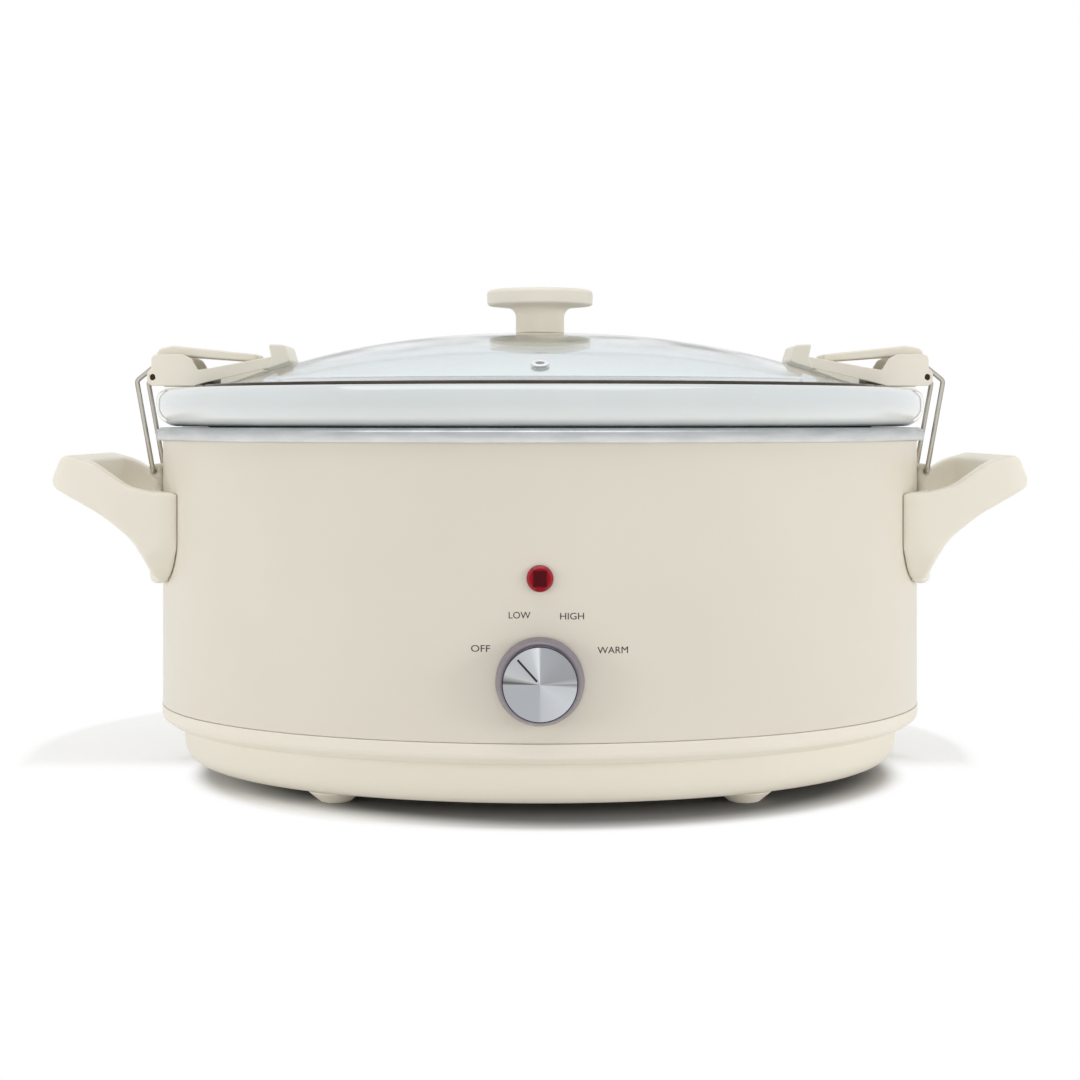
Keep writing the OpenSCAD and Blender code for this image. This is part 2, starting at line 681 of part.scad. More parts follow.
lid_knob_top = apex_z + lid_knob_h;
knob_screw_up = 12;
module lid_knob() color([0.89, 0.87, 0.81]) difference() {
    rotate_extrude() polygon(outline([
        [0, apex_z + 0.05],
        [stem_r, apex_z + 0.05],
        [stem_r, lid_knob_top - lid_knob_t - 1.6, 4.5],
        [lid_knob_d / 2, lid_knob_top - lid_knob_t, 1],
        [lid_knob_d / 2, lid_knob_top - 0.9, 1.8],
        [0, lid_knob_top]
    ], 6));
    translate([0, 0, apex_z - cut]) cylinder(h = knob_screw_up + cut, r = knob_screw_r + 0.02);
}

washer_z = glass_top(knob_washer_d / 2 / ratio) - glass_t - 0.05;
washer_t = 3.3;
washer_low = washer_z - washer_t;
knob_screw_z = washer_low + screw_head_h - 0.5;
module lid_knob_washer() color([0.86, 0.83, 0.76]) difference() {
    rotate_extrude() polygon(outline([
        [0, washer_low],
        [knob_washer_d * 0.3, washer_low, 12],
        [knob_washer_d / 2, washer_z - 0.9, 0.5],
        [knob_washer_d / 2, washer_z],
        [0, washer_z]
    ], 6));
    translate([0, 0, washer_low - cut]) cylinder(h = washer_t + 2 * cut, r = knob_screw_r + hole_gap);
    translate([0, 0, washer_low - cut])
        cylinder(h = knob_screw_z - washer_low + cut, r = screw_head_r + hole_gap);
}

module lid_knob_screw() color([0.75, 0.75, 0.77])
    translate([0, 0, knob_screw_z]) screw(apex_z + knob_screw_up - 1 - knob_screw_z, knob_screw_r);

module vent_eyelet() color([0.66, 0.67, 0.68]) at_vent() rotate_extrude() polygon(outline([
    [vent_r, -glass_t / 2 - 0.8],
    [vent_r + 2.1, -glass_t / 2 - 0.8, 0.3],
    [vent_r + 2.1, -glass_t / 2 - 0.15],
    [vent_r + 0.7, -glass_t / 2 - 0.15],
    [vent_r + 0.7, glass_t / 2 + 0.15],
    [vent_r + 2.1, glass_t / 2 + 0.15],
    [vent_r + 2.1, glass_t / 2 + 0.8, 0.3],
    [vent_r, glass_t / 2 + 0.8]
], 3));

// ---- Handles, built on the right ----

grip_out = shell_a + handle_reach;
grip_in = grip_out - grip_t;
handle_low = handle_z - plate_h;
pivot = [shell_a + pivot_out, handle_z + pivot_rise];
knuckle_r = 3.6;
wire_r = wire_d / 2;
leg_y = leg_pitch / 2;
lever_w = leg_pitch - wire_d - 2 * slip_gap;
hook_l = 6;

// Side outline of the rails and the grip, in [x, z]
handle_side = [
    [shell_a - 26, handle_z],
    [shell_a - 4, handle_z + 1, 20],
    [shell_a + 8, handle_z + 3.4, 22],
    [shell_a + 24, handle_z + 14, 20],
    [grip_out - 6.5, handle_z + 18.2, 4],
    [grip_out, handle_z + 3.8, 4],
    [shell_a + 20.5, handle_z - 9.2, 60],
    [shell_a + 5.6, handle_z - 20.4, 30],
    [shell_a - 1, handle_z - 31.5, 20],
    [shell_a - 3, handle_low],
    [shell_a - 26, handle_low]
];
handle_plan = [
    [shell_a - 27, -handle_w / 2],
    [shell_a - 8, -handle_w / 2, 30],
    [grip_out + 3, -handle_w / 2 + 11, 16],
    [grip_out + 3, handle_w / 2 - 11, 16],
    [shell_a - 8, handle_w / 2, 30],
    [shell_a - 27, handle_w / 2]
];
finger_plan = [
    [shell_a - 28, -handle_w / 2 + rail_t],
    [shell_a - 8, -handle_w / 2 + rail_t, 20],
    [grip_in, -handle_w / 2 + 10 + rail_t, 9],
    [grip_in, handle_w / 2 - 10 - rail_t, 9],
    [shell_a - 8, handle_w / 2 - rail_t, 20],
    [shell_a - 28, handle_w / 2 - rail_t]
];

// Outline of the handle as seen along X, with its lower corners rounded
module handle_front(x0, x1) translate([x0, 0, 0]) rotate([90, 0, 90]) linear_extrude(x1 - x0)
    polygon(outline([
        [-handle_w / 2, handle_low, 20],
        [handle_w / 2, handle_low, 20],
        [handle_w / 2, handle_z + 30],
        [-handle_w / 2, handle_z + 30]
    ]));

module handle() color([0.89, 0.87, 0.81]) difference() {
    union() {
        difference() {
            intersection() {
                slab(-handle_w / 2 - cut, handle_w / 2 + cut) polygon(outline(handle_side));
                linear_extrude(handle_z + 40) polygon(outline(handle_plan));
                handle_front(shell_a - 30, grip_out + 5);
            }
            linear_extrude(handle_z + 40) polygon(outline(finger_plan));
        }
        intersection() {
            oval_slug(shell_a + plate_t, handle_low - cut, handle_z + 1);
            handle_front(shell_a - 30, grip_out);
        }
        slab(-lever_w / 2, lever_w / 2) translate(pivot) circle(r = knuckle_r);
        slab(-lever_w / 2, lever_w / 2) polygon([
            [shell_a - 4, handle_z - 4],
            [pivot[0] - 0.4, handle_z - 4],
            [pivot[0] - 0.4, pivot[1] - 2],
            [shell_a - 4, pivot[1]]
        ]);
    }
    oval_slug(shell_a + 0.15, handle_low - 10, rim_top);
    for (y = [-1, 1]) translate([pivot[0], y * (lever_w / 2 + cut), pivot[1]]) rotate([y * 90, 0, 0])
        cylinder(h = hook_l + cut + 0.3, r = wire_r + run_gap);
    for (y = [-1, 1]) on_wall(y * handle_screw_y, handle_screw_z)
        translate([0, 0, -cut]) cylinder(h = plate_t - 1 + cut, r = screw_r + 0.02);
}

module handle_right() handle();
module handle_left() on_left() handle();

module handle_screws() color([0.7, 0.7, 0.72])
    for (side = [0, 1], y = [-1, 1]) mirror([side, 0, 0])
        on_wall(y * handle_screw_y, handle_screw_z)
            translate([0, 0, -sheet_t - seat_gap - 0.1]) screw(sheet_t + plate_t - 1.5, screw_r);

// ---- Latches, built on the right ----

cheek_in = leg_y + wire_r + slip_gap;
pin_at = [rim_a + 0.6, rim_top + 5.4];
bar_at = pin_at + [-4.1, 8.3];
bend_at = [pin_at[0] + 8, pin_at[1] - 1.6];
pin_r = pin_d / 2;
arm_over = 41.9;      // how far the arm reaches in over the lid
arm_end = pin_at[0] - (lid_a - arm_over);
heel_x = -21.2;       // where the arm's underside starts, over the lid's rim
heel_z = lid_rim_top + seat_gap - pin_at[1];
arm_slope = 0.236;    // rise of the arm's underside for each millimetre inboard
function under_z(x) = heel_z + arm_slope * (heel_x - x);
tip_z = under_z(-arm_end);
block_l = 10;         // length of the end block

// Side outlines in [x, z] from the latch pin; the arm runs inboard, to -X
arm_side = [
    [2.7, -2.2, 1.6],
    [2.7, 2, 1.6],
    [0.7, 4.2, 1],
    [0.7, 10.6, 2.6],
    [-13.6, 10.7, 3],
    [-17.8, 8.7, 3],
    [-20.9, 3.3, 1],
    [block_l - 1.2 - arm_end, tip_z + 2.8, 0.6],
    [block_l - arm_end, tip_z + 8.6, 0.8],
    [2.4 - arm_end, tip_z + 8.3, 2],
    [-arm_end, tip_z + 0.6, 1.2],
    [block_l + 0.8 - arm_end, under_z(block_l + 0.8 - arm_end) - 0.4],
    [block_l + 1.4 - arm_end, under_z(block_l + 1.4 - arm_end)],
    [heel_x, heel_z],
    [heel_x + 2.2, -4, 0.6],
    [0.7, -4, 2]
];
// Floor between the cheeks, and the solid block at the arm's end
floor_side = [
    [heel_x + 3, heel_z + 0.2],
    [heel_x, heel_z + 2.6],
    [block_l - 2 - arm_end, under_z(block_l - 2 - arm_end) + 2.6],
    [block_l - 2 - arm_end, under_z(block_l - 2 - arm_end)],
    [heel_x, heel_z]
];
block_side = [
    [block_l + 0.8 - arm_end, under_z(block_l + 0.8 - arm_end) - 0.4],
    [block_l - 1.2 - arm_end, tip_z + 2.8],
    [block_l - arm_end, tip_z + 8.6, 0.8],
    [2.4 - arm_end, tip_z + 8.3, 2],
    [-arm_end, tip_z + 0.6, 1.2]
];
lever_side = [
    [-47.6, 7.4, 1.4],
    [-47.6, 10.6, 1.2],
    [-8.6, 14.7, 3],
    [-1.6, 13.4, 3.5],
    [0.2, 8, 3],
    [2.5, 0.6],
    [-2.5, -0.8],
    [-7.4, 5.6, 2],
    [-11, 10, 2]
];

module latch_arm() color([0.89, 0.87, 0.81]) difference() {
    union() {
        for (y = [cheek_in, -arm_w / 2]) slab(y, y + arm_w / 2 - cheek_in)
            polygon(outline(moved(arm_side, pin_at)));
        slab(-cheek_in - 0.5, cheek_in + 0.5) polygon(outline(moved(floor_side, pin_at)));
        slab(-cheek_in - 0.5, cheek_in + 0.5) polygon(outline(moved(block_side, pin_at)));
    }
    translate([pin_at[0], arm_w / 2 + cut, pin_at[1]]) rotate([90, 0, 0])
        cylinder(h = arm_w + 2 * cut, r = pin_r + 0.02);
}

module latch_lever() color([0.89, 0.87, 0.81]) difference() {
    union() {
        slab(-lever_w / 2, lever_w / 2) polygon(outline(moved(lever_side, pin_at)));
        slab(-lever_w / 2, lever_w / 2) translate(pin_at) circle(r = pin_r + 1.15);
    }
    translate([pin_at[0], lever_w / 2 + cut, pin_at[1]]) rotate([90, 0, 0])
        cylinder(h = lever_w + 2 * cut, r = pin_r + run_gap);
    translate([bar_at[0], lever_w / 2 + cut, bar_at[1]]) rotate([90, 0, 0])
        cylinder(h = lever_w + 2 * cut, r = wire_r + run_gap);
}

module latch_pin() color([0.7, 0.7, 0.72]) translate([pin_at[0], arm_w / 2 - 1.2, pin_at[1]])
    rotate([90, 0, 0]) cylinder(h = arm_w - 2.4, r = pin_r);

// Soft pad between the arm's underside and the glass; its lower face follows the dome
pad_w = 2 * cheek_in - 1;
pad_gap = 0.5;
pad_in = pin_at[0] - arm_end + block_l + 2.5;
pad_out = dome_a + 8;
pad_steps = 8;
module latch_pad() color([0.84, 0.81, 0.73]) slab(-pad_w / 2, pad_w / 2) polygon(concat(
    [for (x = [pad_out, pad_in]) [x, pin_at[1] + under_z(x - pin_at[0])]],
    [for (i = [0:pad_steps])
        let (x = pad_in + (pad_out - pad_in) * i / pad_steps)
        [x, lid_top(x) + pad_gap]]
));

module bail() color([0.62, 0.60, 0.57]) {
    for (far = [0, 1]) mirror([0, far, 0]) wire([
        [pivot[0], -(lever_w / 2 - hook_l), pivot[1]],
        [pivot[0], -leg_y, pivot[1]],
        [bend_at[0], -leg_y, bend_at[1]],
        [bar_at[0], -leg_y, bar_at[1]],
        [bar_at[0], 0, bar_at[1]]
    ], wire_r);
}

module bail_right() bail();
module bail_left() on_left() bail();
module latch_arm_right() latch_arm();
module latch_arm_left() on_left() latch_arm();
module latch_pad_right() latch_pad();
module latch_pad_left() on_left() latch_pad();
module latch_lever_right() latch_lever();
module latch_lever_left() on_left() latch_lever();
module latch_pin_right() latch_pin();
module latch_pin_left() on_left() latch_pin();

body_shell();
base_pan();
feet();
foot_screws();
base_washer();
base_nut();
heating_well();
heater_band();
band_springs();
thermal_fuse();
fuse_clip();
wiring();
rotary_switch();
switch_nut();
switch_shaft();
knob_body();
knob_ring();
knob_cap();
lamp_lens();
lamp_body();
lamp_clip();
cord_gland();
handle_left();
handle_right();
handle_screws();
crock();
lid_glass();
lid_rim();
lid_seal();
lid_knob();
lid_knob_washer();
lid_knob_screw();
vent_eyelet();
bail_left();
bail_right();
latch_arm_left();
latch_arm_right();
latch_pad_left();
latch_pad_right();
latch_lever_left();
latch_lever_right();
latch_pin_left();
latch_pin_right();
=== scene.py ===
import math

import bmesh
import bpy
from mathutils import Matrix, Vector


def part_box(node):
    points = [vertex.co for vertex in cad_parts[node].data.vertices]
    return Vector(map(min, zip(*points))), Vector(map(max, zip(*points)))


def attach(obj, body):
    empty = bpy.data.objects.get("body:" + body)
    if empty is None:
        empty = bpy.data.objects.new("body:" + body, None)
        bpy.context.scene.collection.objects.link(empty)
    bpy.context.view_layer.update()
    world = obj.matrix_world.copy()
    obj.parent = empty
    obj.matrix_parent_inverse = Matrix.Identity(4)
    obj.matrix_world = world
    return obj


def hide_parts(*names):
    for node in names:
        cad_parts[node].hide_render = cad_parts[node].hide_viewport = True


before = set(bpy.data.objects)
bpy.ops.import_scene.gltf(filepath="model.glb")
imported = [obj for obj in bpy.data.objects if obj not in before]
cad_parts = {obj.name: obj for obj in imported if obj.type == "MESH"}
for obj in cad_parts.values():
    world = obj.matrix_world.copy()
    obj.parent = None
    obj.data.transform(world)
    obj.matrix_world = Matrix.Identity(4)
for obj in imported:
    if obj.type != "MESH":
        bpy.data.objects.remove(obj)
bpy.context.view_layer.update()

# ---- Housing wall ----
# A band of steel sheet rolled to an oval and welded at the back, with a cream stoving enamel on its
# outside. It stands round the base pan's lip, and the well's turned-down rim closes it at the top.

MM = 0.001
shell_low, shell_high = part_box("body_shell")
HALF_LENGTH = shell_high.x
RATIO = shell_high.y / shell_high.x      # depth of every oval as a share of its length
SEAM = shell_low.z
WALL_TOP = shell_high.z
SHEET = 0.8 * MM
OVAL_STEPS = 240
ROUND_STEPS = 6                          # facets on a rounded corner


def tint(red, green, blue):
    """Linear colour from the 0 to 255 values that a screen shows."""
    return (*(((c / 255 + 0.055) / 1.055) ** 2.4 for c in (red, green, blue)), 1.0)


class Signal:
    """An output of a shader node. Arithmetic on it adds Math nodes."""

    def __init__(self, finish, socket):
        self.finish = finish
        self.socket = socket

    def maths(self, operation, *values):
        return self.finish.node("ShaderNodeMath", dict(enumerate(values)), operation=operation)

    def __add__(self, other):
        return self.maths("ADD", self, other)

    def __sub__(self, other):
        return self.maths("SUBTRACT", self, other)

    def __rsub__(self, other):
        return self.maths("SUBTRACT", other, self)

    def __mul__(self, other):
        return self.maths("MULTIPLY", self, other)

    def __truediv__(self, other):
        return self.maths("DIVIDE", self, other)

    def __pow__(self, other):
        return self.maths("POWER", self, other)

    def __abs__(self):
        return self.maths("ABSOLUTE", self)

    __radd__ = __add__
    __rmul__ = __mul__


class Finish:
    """A procedural finish: one Principled shader, and the nodes that vary it over a surface."""

    def __init__(self, name, colour, roughness, **surface):
        self.material = bpy.data.materials.new(name)
        self.material.use_nodes = True
        self.tree = self.material.node_tree
        self.shader = self.tree.nodes["Principled BSDF"]
        self.place = self.node("ShaderNodeTexCoord", output="Object")
        self.surface(base_color=colour, roughness=roughness, **surface)

    def surface(self, **values):
        for name, value in values.items():
            socket = self.shader.inputs[name.replace("_", " ").title().replace("Ior", "IOR")]
            self.feed(socket, value)
        return self

    def feed(self, socket, value):
        if isinstance(value, Signal):
            self.tree.links.new(value.socket, socket)
        else:
            socket.default_value = value

    def node(self, kind, inputs=None, output=0, stops=None, **settings):
        node = self.tree.nodes.new(kind)
        for name, value in settings.items():
            setattr(node, name, value)
        if stops:
            ramp = node.color_ramp.elements
            ramp[0].color = stops[0][1]
            ramp[-1].color = stops[-1][1]
            for place, value in stops[1:-1]:
                ramp.new(place).color = value
        for name, value in (inputs or {}).items():
            self.feed(node.inputs[name], value)
        return Signal(self, node.outputs[output])

    def noise(self, size, detail=2.0, stretch=(1, 1, 1), place=None):
        """Cloudy values from 0 to 1, with spots of about this size in metres."""
        vector = self.node("ShaderNodeMapping", {"Vector": place or self.place, "Scale": stretch})
        return self.node("ShaderNodeTexNoise", {"Vector": vector, "Scale": 1 / size, "Detail": detail})

    def along(self, axis):
        return self.node("ShaderNodeSeparateXYZ", {"Vector": self.place}, output=axis)

    def ramp(self, value, start, end):
        """0 to 1 as the value goes from start to end, with soft ends."""
        return self.node("ShaderNodeMapRange", {"Value": value, "From Min": start, "From Max": end},
                         interpolation_type="SMOOTHSTEP")

    def largest(self, first, *others):
        for other in others:
            first = first.maths("MAXIMUM", first, other)
        return first

    def mix(self, share, first, second):
        return self.node("ShaderNodeMix", {0: share, 6: first, 7: second}, output=2, data_type="RGBA")

    def bump(self, height, depth):
        """Feeds the normal from a height of 0 to 1 that stands for this depth in metres."""
        self.surface(normal=self.node("ShaderNodeBump", {"Height": height, "Distance": depth}))


def draw_profile(mesh, corners, closed):
    """Draws a profile of (distance out, height, corner radius) in the XZ plane, with rounded corners."""
    points = [mesh.verts.new((out, 0, up)) for out, up, _ in corners]
    after = points[1:] + points[:1]
    for start, end in zip(points, after if closed else after[:-1]):
        mesh.edges.new((start, end))
    for i, (out, up, radius) in enumerate(corners):
        if radius:
            here = Vector((out, up))
            back = Vector(corners[i - 1][:2]) - here
            ahead = Vector(corners[(i + 1) % len(corners)][:2]) - here
            bmesh.ops.bevel(mesh, geom=[points[i]], offset=radius / math.tan(back.angle(ahead) / 2),
                            offset_type="OFFSET", segments=ROUND_STEPS, profile=0.5,
                            affect="VERTICES", material=-1)


def turned(corners, closed=False, steps=96):
    """Mesh of a profile spun round Z."""
    mesh = bmesh.new()
    draw_profile(mesh, corners, closed)
    bmesh.ops.spin(mesh, geom=mesh.verts[:] + mesh.edges[:], cent=(0, 0, 0), axis=(0, 0, 1),
                   angle=math.tau, steps=steps, use_merge=True)
    bmesh.ops.remove_doubles(mesh, verts=mesh.verts, dist=0.002 * MM)
    return mesh


def oval(corners, closed=False, steps=OVAL_STEPS):
    """Mesh of a profile swept round the oval; its distances are half lengths along X."""
    mesh = turned(corners, closed, steps)
    bmesh.ops.scale(mesh, vec=(1, RATIO, 1), verts=mesh.verts)
    return mesh


def settle(name, mesh, finish, body, slot, *nodes, crease=35):
    """Makes a mesh a piece of the cooker: its finish, its body and the solids it stands for. The slot is
    not used.
    """
    bmesh.ops.recalc_face_normals(mesh, faces=mesh.faces)
    for face in mesh.faces:
        face.smooth = True
    for edge in mesh.edges:
        edge.smooth = not edge.is_manifold or edge.calc_face_angle() < math.radians(crease)
    data = bpy.data.meshes.new(name)
    mesh.to_mesh(data)
    mesh.free()
    data.materials.append(finish.material)
    piece = bpy.data.objects.new(name, data)
    bpy.context.collection.objects.link(piece)
    piece.modifiers.new("flat faces", "WEIGHTED_NORMAL").keep_sharp = True
    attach(piece, body)
    if nodes:
        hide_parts(*nodes)


CREAM = tint(229, 223, 209)
CREAM_DEEP = tint(223, 216, 201)

enamel = Finish("cream enamel", CREAM, 0.42, coat_weight=0.25, coat_roughness=0.3)
cloud = enamel.noise(60 * MM, detail=1)
peel = enamel.noise(1.6 * MM, detail=2)
enamel.surface(base_color=enamel.mix(cloud, CREAM_DEEP, CREAM), roughness=0.38 + 0.08 * cloud)
enamel.bump(peel, 0.02 * MM)

SEAM_GAP = 0.35 * MM                     # shadow line over the base pan's flange
wall = oval([
    (HALF_LENGTH, SEAM + SEAM_GAP, 0),
    (HALF_LENGTH, WALL_TOP, 0),
    (HALF_LENGTH - SHEET, WALL_TOP, 0),
    (HALF_LENGTH - SHEET, SEAM + SEAM_GAP, 0),
], closed=True)
settle("housing_wall", wall, enamel, "base", "housing_paint", "body_shell")

# ---- Base pan ----
# A moulding of the housing's cream, with an upright flange under the seam and a lower part that stands
# in from it and curves into the floor. Its lip goes up inside the housing wall.

pan_low, pan_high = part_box("base_pan")
PAN_FLOOR = pan_low.z
PAN_TOP = pan_high.z
PAN_WALL = 2.5 * MM
FLANGE_H = 7.6 * MM
PAN_INSET = 11 * MM
STUD_HOLE = 3.3 * MM
RECESS_IN = 52 * MM                      # a shallow recess runs round the underside between these
RECESS_OUT = 98 * MM
RECESS_H = 1 * MM
RECESS_SLOPE = 2 * MM

MOULDED_PALE = tint(241, 235, 221)
MOULDED_DEEP = tint(235, 229, 214)

moulded = Finish("cream moulding", MOULDED_PALE, 0.5, coat_weight=0.08, coat_roughness=0.4)
cloud = moulded.noise(45 * MM, detail=1)
grain = moulded.noise(0.7 * MM, detail=2)
moulded.surface(base_color=moulded.mix(cloud, MOULDED_DEEP, MOULDED_PALE),
                roughness=0.46 + 0.1 * grain)
moulded.bump(grain, 0.012 * MM)

pan_a = HALF_LENGTH + 0.35 * MM
low_a = pan_a - PAN_INSET
step_z = SEAM - FLANGE_H
neck_z = step_z - 1.6 * MM
lip_a = HALF_LENGTH - SHEET - 0.3 * MM
pan = oval([
    (STUD_HOLE, PAN_FLOOR, 0),
    (RECESS_IN, PAN_FLOOR, 1 * MM),
    (RECESS_IN + RECESS_SLOPE, PAN_FLOOR + RECESS_H, 1 * MM),
    (RECESS_OUT - RECESS_SLOPE, PAN_FLOOR + RECESS_H, 1 * MM),
    (RECESS_OUT, PAN_FLOOR, 1 * MM),
    (low_a, PAN_FLOOR, 10 * MM),
    (low_a + 0.8 * MM, neck_z, 0.5 * MM),
    (pan_a - 5 * MM, neck_z + 0.4 * MM, 3 * MM),
    (pan_a - 0.2 * MM, step_z + 2 * MM, 3 * MM),
    (pan_a, SEAM, 0.5 * MM),
    (lip_a, SEAM, 0),
    (lip_a, PAN_TOP, 0.6 * MM),
    (lip_a - PAN_WALL, PAN_TOP, 0.6 * MM),
    (lip_a - PAN_WALL, step_z + 1.5 * MM, 2 * MM),
    (low_a - PAN_WALL, step_z - 0.5 * MM, 1 * MM),
    (low_a - PAN_WALL, PAN_FLOOR + PAN_WALL, 6 * MM),
    (STUD_HOLE, PAN_FLOOR + PAN_WALL, 0),
], closed=True)
settle("base_moulding", pan, moulded, "base", "base_plastic", "base_pan")

# ---- Feet and their screws ----
# Four short tapered feet of the base's plastic, each held by a pan-head screw in a recess underneath.
# A washer and a nut on the well's stud clamp the base, the housing and the well together.

feet_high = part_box("feet")[1]
FOOT_TOP = 12.7 * MM
FOOT_TIP = 6.4 * MM
foot_x = feet_high.x - FOOT_TOP
foot_y = feet_high.y - FOOT_TOP
FOOT_PLACES = [(x, y) for x in (-foot_x, foot_x) for y in (-foot_y, foot_y)]
HEAD_R = 3.6 * MM

zinc = Finish("zinc plating", tint(186, 186, 190), 0.34, metallic=1.0)
spots = zinc.noise(2.5 * MM, detail=3)
zinc.surface(base_color=zinc.mix(spots, tint(160, 161, 168), tint(205, 204, 202)),
             roughness=0.26 + 0.2 * spots)


def copies(mesh, places):
    """Repeats a mesh at several places."""
    seed = mesh.verts[:] + mesh.edges[:] + mesh.faces[:]
    for place in places:
        twin = bmesh.ops.duplicate(mesh, geom=seed)["geom"]
        bmesh.ops.translate(mesh, vec=place, verts=[v for v in twin if isinstance(v, bmesh.types.BMVert)])
    bmesh.ops.delete(mesh, geom=seed, context="VERTS")
    return mesh


foot = turned([
    (HEAD_R + 0.25 * MM, 3 * MM, 0),
    (HEAD_R + 0.25 * MM, 0, 0.3 * MM),
    (FOOT_TIP, 0, 1.2 * MM),
    (FOOT_TOP, feet_high.z, 0.6 * MM),
    (0, feet_high.z, 0),
    (0, 3 * MM, 0),
], closed=True, steps=64)
feet = copies(foot, [(x, y, 0) for x, y in FOOT_PLACES])
settle("foot_set", feet, moulded, "base", "foot_plastic", "feet")

CROSS = 2.2 * MM                         # half length of the cross slot
SCREW_HEAD_H = 2.2 * MM
screw_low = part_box("foot_screws")[0]


def screw_head(height):
    """Domed head that points down, with two thin bars that mark its cross slot."""
    mesh = turned([(0, height, 0), (HEAD_R, height, 0.2 * MM), (HEAD_R - 0.2 * MM, 0.5 * MM, 0.9 * MM),
                   (0, 0, 0)], steps=32)
    for turn in (0, math.pi / 2):
        slot = bmesh.ops.create_cube(mesh, size=1, matrix=Matrix.Rotation(turn, 4, "Z")
                                     @ Matrix.Diagonal((2 * CROSS, 0.7 * MM, 0.25 * MM, 1)))
        bmesh.ops.translate(mesh, vec=(0, 0, 0.1 * MM), verts=slot["verts"])
    return mesh


heads = copies(screw_head(SCREW_HEAD_H), [(x, y, screw_low.z) for x, y in FOOT_PLACES])
settle("foot_screw_heads", heads, zinc, "base", "fastener_steel", "foot_screws")

# ---- Heating well's rim ----
# The well is drawn from plated steel sheet. All that shows of it is its turned-down rim, a brushed band
# over the top of the housing wall, and the flange that the crock's rim stands over.

well_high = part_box("heating_well")[1]
BAND_A = well_high.x
BAND_TOP = well_high.z
BAND_H = 6.1 * MM
BAND_BEND = 160 * MM                     # mean radius of the band, for streaks that run round it
STUD_R = 8 * MM
WELL_A = HALF_LENGTH - SHEET - 18.7 * MM
WELL_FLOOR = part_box("crock")[0].z - 1.1 * MM

band_steel = Finish("brushed band steel", tint(188, 188, 188), 0.3, metallic=1.0)
angle = band_steel.node("ShaderNodeMath", {0: band_steel.along("Y"), 1: band_steel.along("X")},
                        operation="ARCTAN2")
round_place = band_steel.node("ShaderNodeCombineXYZ", {"X": angle * BAND_BEND, "Z": band_steel.along("Z")})
streaks = band_steel.noise(0.35 * MM, detail=4, stretch=(0.012, 1, 1), place=round_place)
patches = band_steel.noise(14 * MM, detail=3, stretch=(0.8, 1, 4), place=round_place)
# Painted shade darkens the band towards its top, and a painted reflection lightens it below.
height = band_steel.ramp(band_steel.along("Z"), BAND_TOP - BAND_H, BAND_TOP - 0.5 * MM)
painted_lower_light = band_steel.mix(patches, tint(196, 199, 199), tint(240, 240, 237))
painted_upper_shade = band_steel.mix(patches, tint(140, 146, 148), tint(196, 200, 201))
band_steel.surface(base_color=band_steel.mix(height, painted_lower_light, painted_upper_shade), roughness=0.2 + 0.22 * streaks)
band_steel.bump(streaks, 0.012 * MM)

rim = oval([
    (HALF_LENGTH + 0.3 * MM, BAND_TOP - BAND_H + 0.3 * MM, 0.2 * MM),
    (BAND_A - 0.3 * MM, BAND_TOP - BAND_H, 0.7 * MM),
    (BAND_A, BAND_TOP - 1.6 * MM, 1.6 * MM),
    (BAND_A - 2.6 * MM, BAND_TOP, 2.2 * MM),
    (WELL_A - SHEET, BAND_TOP, 2 * MM),
    (WELL_A - SHEET, WELL_FLOOR + SHEET, 13 * MM),
    (STUD_R, WELL_FLOOR + SHEET, 0),
    (STUD_R, WELL_FLOOR, 0),
    (WELL_A, WELL_FLOOR, 14 * MM),
    (WELL_A, WALL_TOP + 0.05 * MM, 1.5 * MM),
    (HALF_LENGTH + 0.3 * MM, WALL_TOP + 0.05 * MM, 0.5 * MM),
], closed=True)
settle("well_and_rim", rim, band_steel, "base", "well_steel", "heating_well")

# ---- Crock ----
# Slip-cast stoneware under a thick white glaze. Its rounded rim stands over the housing, and a ledge
# inside the rim carries the lid. The rim is painted lighter towards its lower edge, as painted light from
# below.

crock_low, crock_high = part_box("crock")
RIM_A = crock_high.x
RIM_TOP = crock_high.z
RIM_H = 17.3 * MM
REST_Z = BAND_TOP + 0.3 * MM
REST_A = RIM_A - 12 * MM
LEDGE_A = RIM_A - 20 * MM
LEDGE_Z = RIM_TOP - 4.3 * MM
BOWL_A = WELL_A - SHEET - 5.7 * MM
CROCK_WALL = 8 * MM

glaze = Finish("white glaze", tint(217, 222, 221), 0.1, coat_weight=1.0, coat_roughness=0.03)
pool = glaze.noise(30 * MM, detail=2)
ripple = glaze.noise(9 * MM, detail=1)
# Painted light from below lightens the glaze towards the rim's lower edge; above, its tone varies at
# random.
painted_light_fade = glaze.ramp(glaze.along("Z"), RIM_TOP - RIM_H, RIM_TOP - 0.4 * RIM_H)
cloudy_glaze = glaze.mix(pool, tint(210, 216, 216), tint(219, 224, 224))
glaze.surface(base_color=glaze.mix(painted_light_fade, tint(240, 243, 241), cloudy_glaze), roughness=0.08 + 0.05 * pool)
glaze.bump(ripple, 0.05 * MM)

